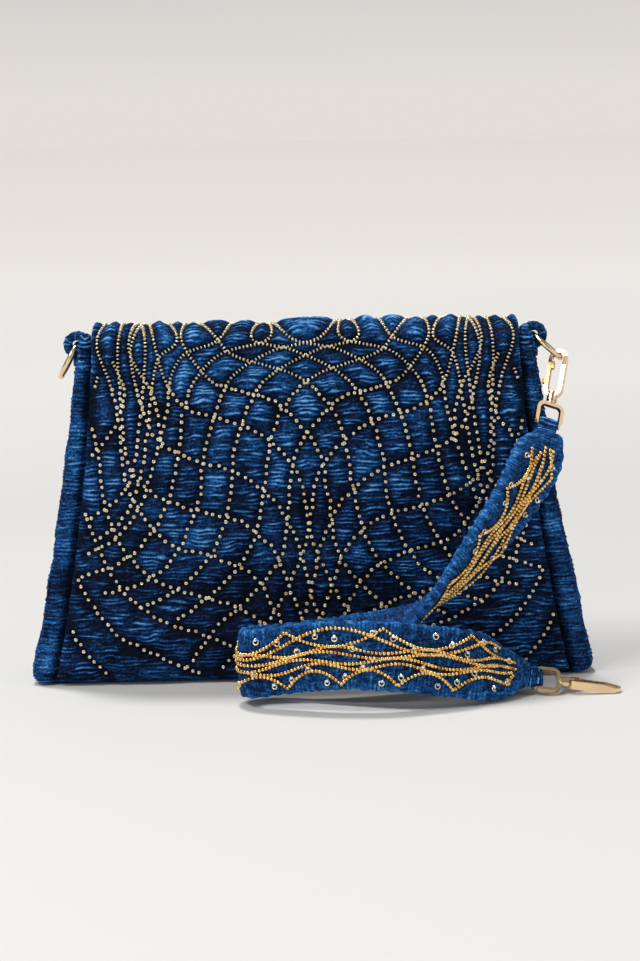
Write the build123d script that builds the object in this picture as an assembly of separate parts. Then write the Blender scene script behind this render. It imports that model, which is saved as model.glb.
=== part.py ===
from build123d import *

import math
import os

# Clutch purse with a fold-over flap, two side rings and a detachable padded wrist strap.
# Millimetres. X to the right, Y away from the viewer, Z up, origin at the middle of the base.

# ---------------------------------------------------------------- bag body
BASE_HALF = 153.6        # half width at the floor
MID_HALF = 136.2         # half width at half height
BODY_HEIGHT = 181.0      # height of the hinge line of the flap
TOP_HALF = 122.6         # half width at the hinge line
FRONT_BASE = 21.0        # front outer face, in front of the middle, at the floor
BACK_BASE = 22.0         # back outer face at the floor
FRONT_TOP = 10.0         # front outer face at the hinge line
BACK_TOP = 12.0          # back outer face at the hinge line
MOUTH_HEIGHT = BODY_HEIGHT - 4.0  # front panel and gussets end here
CORNER_R = 8.0           # bottom corners
VELVET = 2.4             # velvet panels
FOAM = 2.0               # padding behind the front and back panels
BOARD = 2.0              # stiffener in the base
LINING = 0.8             # lining of the compartment
EASE = 0.1               # air between curved cloth layers that are sewn together
HINGE_GAP = 0.3          # between the flap's end and the back panel

POCKET_HALF = 55.0       # slip pocket on the back of the lining
POCKET_LOW = 70.0
POCKET_HIGH = 140.0
POCKET_CLOTH = 0.8
POCKET_SPACE = 1.0

# ---------------------------------------------------------------- flap
FLAP_TOP_HALF = TOP_HALF - 7.6
FLAP_MID_HALF = MID_HALF - 12.4
FLAP_LOW_HALF = BASE_HALF - 14.1
FLAP_LOW = 3.5           # height of its lower edge
FLAP_GAP = 0.5           # air between the flap and the front panel
FLAP_LINING = 0.6
FLAP_FOAM = 1.2
FLAP_VELVET = 2.2
FLAP_THICK = FLAP_LINING + FLAP_FOAM + FLAP_VELVET
ARCH_IN = (BACK_TOP - FLAP_THICK + FRONT_TOP + FLAP_GAP) / 2
ARCH_Y = BACK_TOP - FLAP_THICK - ARCH_IN

# ---------------------------------------------------------------- magnetic snap
SNAP_Z = 62.0
SNAP_R = 8.5
SNAP_WASHER_R = 9.6
SOCKET_DEEP = 2.9
SOCKET_WASHER = 0.6
SOCKET_HOLE_R = 3.4
SOCKET_HOLE_DEEP = 1.8
STUD_THICK = 0.9
STUD_WASHER = 0.4
STUD_PIN_R = 2.8
STUD_PIN_LONG = 1.6

# ---------------------------------------------------------------- tabs and rings
TAB_X = TOP_HALF + 1.4
TAB_Z = BODY_HEIGHT + 3.0
TAB_R = 6.7
TAB_HOLE_R = 3.1
TAB_HALF = 5.0           # half width of the velvet loop
TAB_TAIL = 1.2
TAB_TAIL_LOW = BODY_HEIGHT - 23.0
RING_R = 10.0            # centre line
RING_WIRE = 1.5
RING_SET = 0.5           # wire centre above the swing axis
LEFT_LEAN = 28.0         # degrees from hanging straight down
RIGHT_LEAN = 48.0

# ---------------------------------------------------------------- swivel clasps
HOOK_LONG = 29.0
HOOK_HALF = 5.0
HOOK_BAR = 2.0
HOOK_THICK = 4.4
GATE_PIN_R = 0.6
GATE_PIN_X = -3.8
GATE_PIN_Z = 4.5
GATE_CLEAR = 0.08
POST_R = 1.6
POST_CLEAR = 0.1
COLLAR_R = 2.9
COLLAR_LOW = -2.2
BAIL_HALF = 7.8
BAIL_BAR = 2.0
BAIL_THICK = 3.0
BAIL_TOP = -3.4
BAIL_BOTTOM = -17.4
BAIL_ROD_R = 1.4
BAIL_ROD_CLEAR = 0.15
BAIL_ROD_Z = -16.0
NOSE_START = 21.0        # the gate closes on the nose here
HOOK_SIDE = 1.0          # ring wire to the right of the upper hook's middle line
LINK_REACH = 3.45        # ring wire centre to nose bar centre
HOOK_TURN = 22.0         # upper hook turned about its own length
BAIL_TURN = 20.0         # upper bail turned the other way

# ---------------------------------------------------------------- strap
STRAP_HALF = 17.5
STRAP_END_HALF = 5.3
STRAP_FACE = 1.8
STRAP_CORE = 2.9
STRAP_BACK = 1.8
STRAP_EASE = 0.25        # air between the twisted layers
STRAP_THICK = STRAP_FACE + STRAP_CORE + STRAP_BACK
STRAP_GATHER = 32.0      # length over which each end narrows
STRAP_STEPS = 36
END_LOOP = 4.4           # from the rod to where the loop meets the strap
LOWER_TIP_X = 163.0
LOWER_Y = -64.0
LOWER_TILT = 8.4
LOWER_BAIL_TURN = 36.0


def front_y(z, inset=0.0):
    return -(FRONT_BASE + (FRONT_TOP - FRONT_BASE) * z / BODY_HEIGHT) + inset


def back_y(z, inset=0.0):
    return BACK_BASE + (BACK_TOP - BACK_BASE) * z / BODY_HEIGHT - inset


def prism_yz(points, reach=260.0):
    face = Face(Wire.make_polygon([Vector(-reach, y, z) for y, z in points], close=True))
    return Solid.extrude(face, Vector(2 * reach, 0, 0))


def wedge(front, back, low=-5.0, high=230.0):
    return prism_yz([(front_y(low, front), low), (back_y(low, back), low),
                     (back_y(high, back), high), (front_y(high, front), high)])


def front_slab(outer, inner, low=-5.0, high=230.0):
    return prism_yz([(front_y(low, outer), low), (front_y(low, inner), low),
                     (front_y(high, inner), high), (front_y(high, outer), high)])


def back_slab(outer, inner, low=-5.0, high=230.0):
    return prism_yz([(back_y(low, outer), low), (back_y(low, inner), low),
                     (back_y(high, inner), high), (back_y(high, outer), high)])


def side_outline(low_half, mid_half, top_half, low, top, rise, corner):
    """Closed outline in XZ with curved sides, rounded at the bottom, extruded through Y."""
    mid = (low + top) / 2
    right = Edge.make_three_point_arc(Vector(low_half, 0, low), Vector(mid_half, 0, mid),
                                      Vector(top_half, 0, top))
    left = Edge.make_three_point_arc(Vector(-top_half, 0, top), Vector(-mid_half, 0, mid),
                                     Vector(-low_half, 0, low))
    up_r, up_l = Vector(top_half, 0, top + rise), Vector(-top_half, 0, top + rise)
    edges = [right, Edge.make_line(right @ 1, up_r), Edge.make_line(up_r, up_l),
             Edge.make_line(up_l, left @ 0), left, Edge.make_line(left @ 1, right @ 0)]
    face = Face(Wire(edges))
    feet = [v for v in face.vertices() if abs(v.Z - low) < 0.01]
    face = face.fillet_2d(corner, feet)
    return Solid.extrude(face.moved(Location((0, -80, 0))), Vector(0, 160, 0))


def bag_outline(inset):
    return side_outline(BASE_HALF - inset, MID_HALF - inset, TOP_HALF - inset,
                        inset, BODY_HEIGHT, 20.0, CORNER_R - inset)


def block(x0, x1, y0, y1, z0, z1):
    return Solid.make_box(x1 - x0, y1 - y0, z1 - z0).moved(Location((x0, y0, z0)))


def rod(origin, axis, radius, start, end):
    plane = Plane(origin=Vector(*origin) + Vector(*axis).normalized() * start, z_dir=Vector(*axis))
    return Solid.make_cylinder(radius, end - start, plane)


def one(shape):
    solids = sorted(shape.solids(), key=lambda s: -s.volume)
    return solids[0]


parts = {}

# ---------------------------------------------------------------- body panels
full = bag_outline(0)
inside = bag_outline(VELVET)
below_mouth = block(-200, 200, -80, 80, -5, MOUTH_HEIGHT)
below_hinge = block(-200, 200, -80, 80, -5, BODY_HEIGHT - HINGE_GAP)
shell_in = VELVET + FOAM

front_panel = full & front_slab(0, VELVET) & below_mouth
parts["back_panel"] = full & back_slab(0, VELVET) & below_hinge
edge_ring = (full - inside) & wedge(VELVET, VELVET) & below_mouth
base_split = BASE_HALF - 14.0
parts["base_panel"] = edge_ring & block(-base_split, base_split, -80, 80, -5, VELVET + 2)
foam_front = inside & front_slab(VELVET, shell_in) & below_mouth
parts["foam_back"] = inside & back_slab(VELVET, shell_in) & below_hinge
parts["base_board"] = (inside & wedge(shell_in, shell_in)
                       & block(-200, 200, -80, 80, -5, VELVET + BOARD))

floor_in = VELVET + BOARD
pouch_out = (bag_outline(VELVET + EASE / 2) & wedge(shell_in, shell_in)
             & block(-200, 200, -80, 80, floor_in, MOUTH_HEIGHT))
pouch_in = (bag_outline(VELVET + LINING) & wedge(shell_in + LINING, shell_in + LINING)
            & block(-200, 200, -80, 80, floor_in + LINING, 230))
parts["lining"] = pouch_out - pouch_in
pocket_in = shell_in + LINING
pocket = back_slab(pocket_in, pocket_in + POCKET_SPACE + POCKET_CLOTH) & block(
    -POCKET_HALF, POCKET_HALF, -80, 80, POCKET_LOW, POCKET_HIGH)
pocket -= back_slab(pocket_in - 0.01, pocket_in + POCKET_SPACE) & block(
    -POCKET_HALF + 3, POCKET_HALF - 3, -80, 80, POCKET_LOW + 3, POCKET_HIGH + 1)
parts["slip_pocket"] = pocket

# ---------------------------------------------------------------- tabs and gussets
for name, side in (("left", -1), ("right", 1)):
    half = block(0, 200, -80, 80, -5, 230) if side > 0 else block(-200, 0, -80, 80, -5, 230)
    gusset = (edge_ring & half) - block(-base_split, base_split, -80, 80, -5, VELVET + 2)
    notch = ((bag_outline(VELVET - TAB_TAIL) - inside) & half
             & block(-200, 200, -TAB_HALF, TAB_HALF, TAB_TAIL_LOW, MOUTH_HEIGHT))
    tail = notch - bag_outline(VELVET - EASE)
    loop = rod((side * TAB_X, 0, TAB_Z), (0, 1, 0), TAB_R, -TAB_HALF, TAB_HALF)
    foot_in, foot_out = TAB_X - TAB_R + 0.2, TAB_X - 2.2
    foot = block(min(side * foot_in, side * foot_out), max(side * foot_in, side * foot_out),
                 -TAB_HALF, TAB_HALF, MOUTH_HEIGHT, TAB_Z - 2)
    hole = rod((side * TAB_X, 0, TAB_Z), (0, 1, 0), TAB_HOLE_R, -20, 20)
    parts["gusset_" + name] = gusset - notch
    parts["tab_" + name] = (loop + foot + tail) - hole

# ---------------------------------------------------------------- rings
for name, side, lean in (("left", -1, LEFT_LEAN), ("right", 1, RIGHT_LEAN)):
    down = Vector(side * math.sin(math.radians(lean)), 0, -math.cos(math.radians(lean)))
    centre = Vector(side * TAB_X, 0, TAB_Z) + down * (RING_R - RING_SET)
    plane = Plane(origin=centre, x_dir=(0, 1, 0), z_dir=Vector(0, 1, 0).cross(down))
    parts["ring_" + name] = Solid.make_torus(RING_R, RING_WIRE, plane)
    far_wire = centre + down * RING_R

# ---------------------------------------------------------------- flap
flap_outline = side_outline(FLAP_LOW_HALF, FLAP_MID_HALF, FLAP_TOP_HALF, FLAP_LOW,
                            BODY_HEIGHT, 30.0, CORNER_R)


def flap_layer(inner, outer):
    """A layer of the flap between two distances from its inner face."""
    def line(t):
        r = ARCH_IN + t
        return (Vector(-260, ARCH_Y + r, BODY_HEIGHT), Vector(-260, ARCH_Y, BODY_HEIGHT + r),
                Vector(-260, ARCH_Y - r, BODY_HEIGHT),
                Vector(-260, front_y(FLAP_LOW) - FLAP_GAP - t, FLAP_LOW))
    a, b = line(inner), line(outer)
    edges = [Edge.make_three_point_arc(a[0], a[1], a[2]), Edge.make_line(a[2], a[3]),
             Edge.make_line(a[3], b[3]), Edge.make_line(b[3], b[2]),
             Edge.make_three_point_arc(b[2], b[1], b[0]), Edge.make_line(b[0], a[0])]
    return Solid.extrude(Face(Wire(edges)), Vector(520, 0, 0)) & flap_outline


flap_lining = flap_layer(0, FLAP_LINING)
flap_foam = flap_layer(FLAP_LINING, FLAP_LINING + FLAP_FOAM)
parts["flap_panel"] = flap_layer(FLAP_LINING + FLAP_FOAM, FLAP_THICK)

# ---------------------------------------------------------------- magnetic snap
snap_at = (0, front_y(SNAP_Z), SNAP_Z)
slope = math.atan2(FRONT_BASE - FRONT_TOP, BODY_HEIGHT)
out = (0, -math.cos(slope), math.sin(slope))
socket = rod(snap_at, out, SNAP_R, -SOCKET_DEEP, 0)
washer = rod(snap_at, out, SNAP_WASHER_R, -SOCKET_DEEP - SOCKET_WASHER, -SOCKET_DEEP)
parts["front_panel"] = front_panel - socket - washer
parts["foam_front"] = foam_front - socket - washer
parts["magnet_socket"] = socket - rod(snap_at, out, SOCKET_HOLE_R, -SOCKET_HOLE_DEEP, 1)
parts["socket_washer"] = washer
stud_face = FLAP_GAP * math.cos(slope)
stud = rod(snap_at, out, SNAP_R, stud_face, stud_face + STUD_THICK)
stud_back = rod(snap_at, out, SNAP_WASHER_R, stud_face + STUD_THICK,
                stud_face + STUD_THICK + STUD_WASHER)
parts["magnet_stud"] = stud + rod(snap_at, out, STUD_PIN_R, stud_face - STUD_PIN_LONG, stud_face)
parts["stud_washer"] = stud_back
parts["flap_lining"] = flap_lining - stud - stud_back
parts["flap_foam"] = flap_foam - stud - stud_back


# ---------------------------------------------------------------- clasps, drawn along +Z
def upright(shape_2d, half_thick):
    """A face in local XZ made into a plate centred on the local XZ plane."""
    return Solid.extrude(shape_2d.moved(Location((0, half_thick, 0))), Vector(0, -2 * half_thick, 0))


def pill(half, low, high, half_thick):
    box = block(-half, half, -half_thick, half_thick, low + half, high - half)
    ends = [rod((0, 0, z), (0, 1, 0), half, -half_thick, half_thick)
            for z in (low + half, high - half)]
    return box + ends[0] + ends[1]


def taper_profile(wide, narrow, z_from, z_to):
    """Narrows a hook's thickness towards its nose."""
    pts = [(-wide, -5), (wide, -5), (wide, z_from), (narrow, z_to), (narrow, 40),
           (-narrow, 40), (-narrow, z_to), (-wide, z_from)]
    face = Face(Wire.make_polygon([Vector(-20, y, z) for y, z in pts], close=True))
    return Solid.extrude(face, Vector(40, 0, 0))


def rounded_frame(half, low, high, radius, half_thick):
    pts = [(-half, low), (half, low), (half, high), (-half, high)]
    face = Face(Wire.make_polygon([Vector(x, 0, z) for x, z in pts], close=True))
    face = face.fillet_2d(radius, face.vertices())
    a = Solid.extrude(face, Vector(0, half_thick, 0))
    b = Solid.extrude(face, Vector(0, -half_thick, 0))
    return a + b


def clasp():
    t = HOOK_THICK / 2
    hook = pill(HOOK_HALF, 0, HOOK_LONG, t) - pill(HOOK_HALF - HOOK_BAR, HOOK_BAR,
                                                   HOOK_LONG - HOOK_BAR, t + 1)
    hook = hook & taper_profile(t, HOOK_BAR / 2, 19.0, HOOK_LONG - HOOK_BAR - 1.6)
    hook = hook + rod((0, 0, 0), (0, 0, 1), COLLAR_R, COLLAR_LOW, HOOK_BAR)
    hook = hook - block(-2.4, 2.4, -3.5, 3.5, HOOK_BAR, 4.2)
    hook = hook - rod((0, 0, 0), (0, 0, 1), POST_R + POST_CLEAR, -10, 5)
    hook = hook - block(-8, -2.4, -t - 1, t + 1, 7.0, NOSE_START)
    hook = hook - block(-8, -2.0, -1.2, 1.2, 2.6, 8.0)
    hook = hook - rod((GATE_PIN_X, 0, GATE_PIN_Z), (0, 1, 0), GATE_PIN_R, -5, 5)
    pin = rod((GATE_PIN_X, 0, GATE_PIN_Z), (0, 1, 0), GATE_PIN_R, -t, t)
    shut = NOSE_START - 0.2
    gate = rod((GATE_PIN_X, 0, GATE_PIN_Z), (0, 1, 0), 1.4, -1.05, 0.35)
    gate = gate + block(-4.8, -3.2, -1.05, 0.35, GATE_PIN_Z, 7.6)
    gate = gate + block(-4.9, -3.2, -1.6, 1.6, 7.4, shut)
    gate = gate + block(-3.4, -1.8, -1.2, 1.2, shut - 3.4, shut)
    gate = gate + block(-2.8, -1.8, -1.2, 1.2, shut - 0.8, shut + 0.7)
    gate = gate + block(-6.7, -4.8, -1.3, 1.3, 8.4, 10.8)
    gate = gate - rod((GATE_PIN_X, 0, GATE_PIN_Z), (0, 1, 0), GATE_PIN_R + GATE_CLEAR, -5, 5)
    spring = (rod((GATE_PIN_X, 0, GATE_PIN_Z), (0, 1, 0), 1.25, 0.45, 1.1)
              - rod((GATE_PIN_X, 0, GATE_PIN_Z), (0, 1, 0), GATE_PIN_R + 0.02, 0, 2))
    bail = (rounded_frame(BAIL_HALF, BAIL_BOTTOM, BAIL_TOP, 4.2, BAIL_THICK / 2)
            - rounded_frame(BAIL_HALF - BAIL_BAR, BAIL_BOTTOM + BAIL_BAR, BAIL_TOP - BAIL_BAR,
                            2.2, BAIL_THICK))
    inner = BAIL_HALF - BAIL_BAR
    bail = bail - block(-inner, inner, -5, 5, BAIL_BOTTOM - 1, BAIL_ROD_Z + STRAP_THICK / 2 + 0.4)
    bail = bail + rod((0, 0, BAIL_ROD_Z), (1, 0, 0), BAIL_ROD_R, -inner - 0.8, inner + 0.8)
    bail = bail + rod((0, 0, 0), (0, 0, 1), 2.4, BAIL_TOP - 0.4, COLLAR_LOW - 0.1)
    bail = bail + rod((0, 0, 0), (0, 0, 1), POST_R, BAIL_TOP - 0.4, 3.2)
    bail = bail + rod((0, 0, 0), (0, 0, 1), 2.1, HOOK_BAR + 0.1, 3.2)
    return {"hook": hook, "gate": gate, "gate_pin": pin, "gate_spring": spring, "swivel": bail}


def end_loop():
    """Velvet loop round the rod of a bail, in the clasp's own directions."""
    low = BAIL_ROD_Z - END_LOOP
    body = rod((0, 0, BAIL_ROD_Z), (1, 0, 0), STRAP_THICK / 2, -STRAP_END_HALF, STRAP_END_HALF)
    body = body + block(-STRAP_END_HALF, STRAP_END_HALF, -STRAP_THICK / 2, STRAP_THICK / 2,
                        low, BAIL_ROD_Z)
    return body - rod((0, 0, BAIL_ROD_Z), (1, 0, 0), BAIL_ROD_R + BAIL_ROD_CLEAR, -20, 20)


def unit(v):
    return v * (1 / v.length)


def across(v, along):
    return unit(v - along * v.dot(along))


# upper clasp: hangs from the far wire of the right ring, leaning forward and inward
up_axis = unit(Vector(0.209, 0.510, 0.835))
nose = far_wire + across(up_axis, Vector(0, 1, 0)) * LINK_REACH - Vector(HOOK_SIDE, 0, 0)
upper_at = nose - up_axis * (HOOK_LONG - HOOK_BAR / 2)
turn = math.radians(HOOK_TURN)
upper_hook_w = across(Vector(math.cos(turn), -math.sin(turn), 0), up_axis)
turn = math.radians(BAIL_TURN)
upper_bail_w = across(Vector(math.cos(turn), math.sin(turn), 0), up_axis)
# lower clasp: lies on the floor with its tip down
tilt = math.radians(LOWER_TILT)
low_axis = Vector(math.cos(tilt), 0, -math.sin(tilt))
low_foot = HOOK_BAR / 2 * math.cos(tilt) + 0.05
lower_at = Vector(LOWER_TIP_X, LOWER_Y, low_foot) - low_axis * HOOK_LONG
lower_hook_w = Vector(0, -1, 0)
turn = math.radians(LOWER_BAIL_TURN)
lower_bail_w = unit(Vector(0, math.cos(turn), 0)
                    + low_axis.cross(Vector(0, 1, 0)) * math.sin(turn))

for name, at, axis, hook_w, bail_w in (
        ("upper", upper_at, up_axis, upper_hook_w, upper_bail_w),
        ("lower", lower_at, low_axis, lower_hook_w, lower_bail_w)):
    hook_frame = Plane(origin=at, x_dir=hook_w, z_dir=axis)
    bail_frame = Plane(origin=at, x_dir=bail_w, z_dir=axis)
    for piece, solid in clasp().items():
        plane = bail_frame if piece == "swivel" else hook_frame
        parts[name + "_" + piece] = solid.moved(plane.location)
    parts["strap_end_" + name] = end_loop().moved(bail_frame.location)

# ---------------------------------------------------------------- strap
# Knots from the upper clasp to the lower one: a point and the way the beaded face looks there.
start = upper_at + up_axis * (BAIL_ROD_Z - END_LOOP)
finish = lower_at + low_axis * (BAIL_ROD_Z - END_LOOP)
start_face = unit(-(up_axis.cross(upper_bail_w)))
finish_face = unit(low_axis.cross(lower_bail_w))
knots = [
    (start, start_face),
    (start - up_axis * 7, start_face),
    (Vector(118.5, -35.5, 113.5), Vector(0.45, -0.85, -0.25)),
    (Vector(106.5, -44.0, 96.0), Vector(0.55, -0.75, -0.35)),
    (Vector(92.0, -52.5, 79.0), Vector(0.60, -0.65, -0.45)),
    (Vector(78.0, -59.0, 64.0), Vector(0.62, -0.50, -0.60)),
    (Vector(60.0, -64.0, 49.0), Vector(0.50, -0.15, -0.85)),
    (Vector(40.0, -67.0, 36.5), Vector(0.25, 0.40, -0.88)),
    (Vector(19.0, -67.5, 28.0), Vector(0.10, 0.80, -0.60)),
    (Vector(-3.0, -65.0, 23.5), Vector(0.02, 0.97, -0.25)),
    (Vector(-20.0, -62.5, 22.0), Vector(-0.10, 1.00, 0.0)),
    (Vector(-31.5, -65.0, 22.0), Vector(-0.70, 0.70, 0.0)),
    (Vector(-35.5, -72.5, 22.0), Vector(-1.00, 0.0, 0.0)),
    (Vector(-31.0, -80.5, 23.0), Vector(-0.70, -0.70, 0.0)),
    (Vector(-16.0, -86.5, 26.0), Vector(-0.30, -0.95, 0.0)),
    (Vector(10.0, -93.5, 29.5), Vector(-0.15, -1.00, 0.05)),
    (Vector(36.0, -95.5, 29.0), Vector(0.05, -1.00, 0.08)),
    (Vector(60.0, -91.0, 25.5), Vector(0.15, -1.00, 0.15)),
    (Vector(82.0, -83.0, 20.6), Vector(0.25, -0.95, 0.30)),
    (finish - low_axis * 10 + Vector(0, -2.0, 2.8), finish_face + Vector(0.15, -0.1, -0.1)),
    (finish, finish_face),
]


def blend(values, i, f):
    """Smooth curve through a list of vectors, a fraction f past entry i."""
    p0, p1 = values[max(i - 1, 0)], values[i]
    p2, p3 = values[min(i + 1, len(values) - 1)], values[min(i + 2, len(values) - 1)]
    return (p1 * 2 + (p2 - p0) * f + (p0 * 2 - p1 * 5 + p2 * 4 - p3) * f ** 2
            + (p1 * 3 - p0 - p2 * 3 + p3) * f ** 3) * 0.5


points, faces_to = [k[0] for k in knots], [unit(k[1]) for k in knots]
samples, walked = [], [0.0]
for i in range(len(knots) - 1):
    for k in range(12):
        samples.append((blend(points, i, k / 12), blend(faces_to, i, k / 12)))
samples.append((points[-1], faces_to[-1]))
for a, b in zip(samples, samples[1:]):
    walked.append(walked[-1] + (b[0] - a[0]).length)
STRAP_LONG = walked[-1]


def at_length(s):
    j = max(1, next((k for k, w in enumerate(walked) if w >= s), len(walked) - 1))
    f = (s - walked[j - 1]) / (walked[j] - walked[j - 1])
    a, b = samples[j - 1], samples[j]
    return a[0] * (1 - f) + b[0] * f, a[1] * (1 - f) + b[1] * f


def half_width(s):
    near = min(s, STRAP_LONG - s)
    f = min(1.0, near / STRAP_GATHER)
    return STRAP_END_HALF + (STRAP_HALF - STRAP_END_HALF) * math.sin(f * math.pi / 2) ** 0.85


sections = []
for k in range(STRAP_STEPS + 1):
    s = STRAP_LONG * k / STRAP_STEPS
    here, face = at_length(s)
    ahead = at_length(min(STRAP_LONG, s + 1.0))[0] - at_length(max(0.0, s - 1.0))[0]
    if k == 0:
        ahead = -up_axis
    if k == STRAP_STEPS:
        ahead = low_axis
    ahead = unit(ahead)
    face = across(face, ahead)
    sections.append((here, face, face.cross(ahead), half_width(s)))


def strap_layer(low, high):
    wires = []
    for here, face, wide, half in sections:
        corners = [here + face * h + wide * w
                   for h, w in ((low, -half), (high, -half), (high, half), (low, half))]
        wires.append(Wire.make_polygon(corners, close=True))
    return Solid.make_loft(wires, ruled=True)


core_low = -STRAP_THICK / 2 + STRAP_BACK
core_high = STRAP_THICK / 2 - STRAP_FACE
parts["strap_back"] = strap_layer(-STRAP_THICK / 2, core_low - STRAP_EASE / 2)
parts["strap_core"] = strap_layer(core_low + STRAP_EASE / 2, core_high - STRAP_EASE / 2)
parts["strap_face"] = strap_layer(core_high + STRAP_EASE / 2, STRAP_THICK / 2)

os.makedirs("parts", exist_ok=True)
for name, shape in parts.items():
    solid = one(shape)
    export_step(solid, "parts/" + name + ".step")
    box = solid.bounding_box()
    print(f"{name:18s} solids {len(shape.solids())} volume {solid.volume:10.1f}"
          f"  x {box.min.X:7.1f} {box.max.X:7.1f}  y {box.min.Y:7.1f} {box.max.Y:7.1f}"
          f"  z {box.min.Z:7.1f} {box.max.Z:7.1f}")
print("strap length", round(STRAP_LONG, 1))
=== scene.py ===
import math

import bpy
import numpy as np
from mathutils import Matrix, Vector


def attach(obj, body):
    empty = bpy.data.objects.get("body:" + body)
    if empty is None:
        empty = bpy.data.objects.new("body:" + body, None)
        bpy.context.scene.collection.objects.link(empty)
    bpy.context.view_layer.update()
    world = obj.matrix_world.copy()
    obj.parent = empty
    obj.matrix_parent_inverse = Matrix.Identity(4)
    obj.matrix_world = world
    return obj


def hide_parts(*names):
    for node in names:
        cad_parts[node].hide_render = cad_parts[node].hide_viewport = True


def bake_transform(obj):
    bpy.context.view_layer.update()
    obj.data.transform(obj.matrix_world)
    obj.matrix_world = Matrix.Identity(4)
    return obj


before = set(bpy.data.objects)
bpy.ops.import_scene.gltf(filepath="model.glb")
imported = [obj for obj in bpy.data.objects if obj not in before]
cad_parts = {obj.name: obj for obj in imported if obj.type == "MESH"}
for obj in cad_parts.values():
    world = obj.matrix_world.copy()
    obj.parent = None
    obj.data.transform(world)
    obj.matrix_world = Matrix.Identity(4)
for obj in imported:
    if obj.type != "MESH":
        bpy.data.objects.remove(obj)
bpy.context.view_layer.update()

bl_info = {
    "name": "Beaded velvet clutch",
    "version": (1, 0, 0),
    "blender": (4, 5, 0),
    "location": "View3D > Sidebar > Clutch",
    "description": "Makes the velvet, beads and satin of a clutch purse round its CAD frame",
    "category": "Add Mesh",
}

MM = 1000.0  # millimetres in a metre
TURN = 2 * np.pi

# Sizes shared with the CAD part, in millimetres.
BASE_HALF, MID_HALF, TOP_HALF = 153.6, 136.2, 122.6
FLAP_LOW_HALF, FLAP_MID_HALF, FLAP_TOP_HALF = 139.5, 123.8, 115.0
BODY_HEIGHT, MOUTH_HEIGHT, FLAP_LOW = 181.0, 177.0, 3.5
ARCH_OUT, ARCH_Y = 13.25, -1.25
FLAP_STAND = 4.5  # the flap's outer face in front of the front panel
PUFF_REACH = 3.4  # how far from a bead row the velvet has risen
THREADED_FROM = 0.93  # share of the flap's front above which its beads touch
TAB_X, TAB_Z = 124.0, 184.0

# Centre lines of the bead rows on the flap, (x, z) in millimetres from the top down.
# Each row falls steeply, runs over a shallow shoulder, falls again and flares at the hem.
# The same rows mirrored make the other half of the net.
BEAD_ROWS = [
    [(-30, 190), (-28, 186), (-7, 180), (17, 168), (30, 153), (40, 125), (43, 98), (53, 71), (72, 52), (96, 40)],
    [(-50, 190), (-46, 185), (-37, 177), (-7, 167), (9, 154), (19, 135), (25, 101), (32, 74), (50, 52), (74, 34)],
    [(-68, 190), (-66, 185), (-53, 166), (-41, 160), (-20, 154), (-7, 143), (6, 125), (11, 98), (16, 68), (37, 43),
     (52, 30), (70, 6)],
    [(-80, 190), (-80, 180), (-74, 161), (-62, 149), (-32, 139), (-14, 125), (-4, 109), (-1, 90), (4, 70), (20, 38),
     (40, 18), (52, 4)],
    [(-94, 190), (-94, 180), (-90, 155), (-83, 136), (-67, 124), (-40, 115), (-25, 105), (-16, 95), (-5, 71), (3, 38),
     (17, 18), (30, 4)],
    [(-103, 190), (-101, 180), (-100, 153), (-98, 125), (-89, 108), (-67, 96), (-40, 89), (-26, 79), (-18, 69),
     (-9, 44), (1, 20), (8, 4)],
    [(-108, 190), (-112, 184), (-105, 162), (-101, 139), (-99, 112), (-89, 91), (-75, 76), (-51, 69), (-30, 57),
     (-17, 34), (-9, 14), (-4, 4)],
    [(-112, 168), (-117, 150), (-113, 125), (-110, 98), (-101, 74), (-81, 55), (-40, 41), (-23, 27), (-13, 5)],
    [(-124, 103), (-114, 74), (-102, 51), (-81, 35), (-53, 24), (-34, 14), (-23, 4)],
    [(-130, 66), (-120, 46), (-105, 27), (-81, 14), (-60, 4)],
    [(-134, 38), (-124, 19), (-111, 5)],
    [(-11, 190), (-7, 186), (17, 180), (38, 168), (47, 153), (56, 125), (60, 98), (73, 71), (88, 57), (112, 50)],
    [(16, 190), (20, 186), (45, 179), (59, 166), (65, 153), (70, 125), (77, 98), (91, 76), (105, 66), (124, 60)],
    [(44, 190), (47, 186), (65, 179), (73, 166), (75, 150), (82, 125), (91, 98), (105, 80), (121, 72)],
    [(67, 190), (69, 186), (79, 177), (83, 161), (86, 139), (91, 112), (100, 92), (114, 80)],
    [(84, 190), (86, 184), (88, 160), (91, 138), (96, 112), (108, 98), (118, 92)],
    [(97, 190), (95, 184), (91, 172), (84, 160), (80, 146), (79, 128)],
    [(104, 176), (98, 160), (102, 144), (111, 131), (119, 124)],
]

# The wrist strap's middle line and the way its beaded face looks, in metres and unit parts.
UP_AXIS = np.array((0.209, 0.510, 0.835))
UPPER_AT = np.array((132.480, -14.273, 150.930))
UPPER_BAIL = np.array((0.92839, 0.16483, -0.33305))
LOW_AXIS = np.array((math.cos(math.radians(8.4)), 0.0, -math.sin(math.radians(8.4))))
LOWER_AT = np.array((134.311, -64.0, 5.2757))
LOWER_BAIL = np.array((0.08587, 0.80902, 0.58148))
ROD_TO_STRAP, ROD_AT = 20.4, 16.0
STRAP_HALF, STRAP_END_HALF, STRAP_GATHER, STRAP_THICK = 17.5, 5.3, 32.0, 6.5


def hex_colour(text):
    """Linear colour of an sRGB hex value: each part c becomes c/12.92 below 0.04045, else ((c+0.055)/1.055)^2.4."""
    parts = [int(text[i:i + 2], 16) / 255 for i in (1, 3, 5)]
    return tuple(c / 12.92 if c <= 0.04045 else ((c + 0.055) / 1.055) ** 2.4 for c in parts) + (1.0,)


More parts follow.
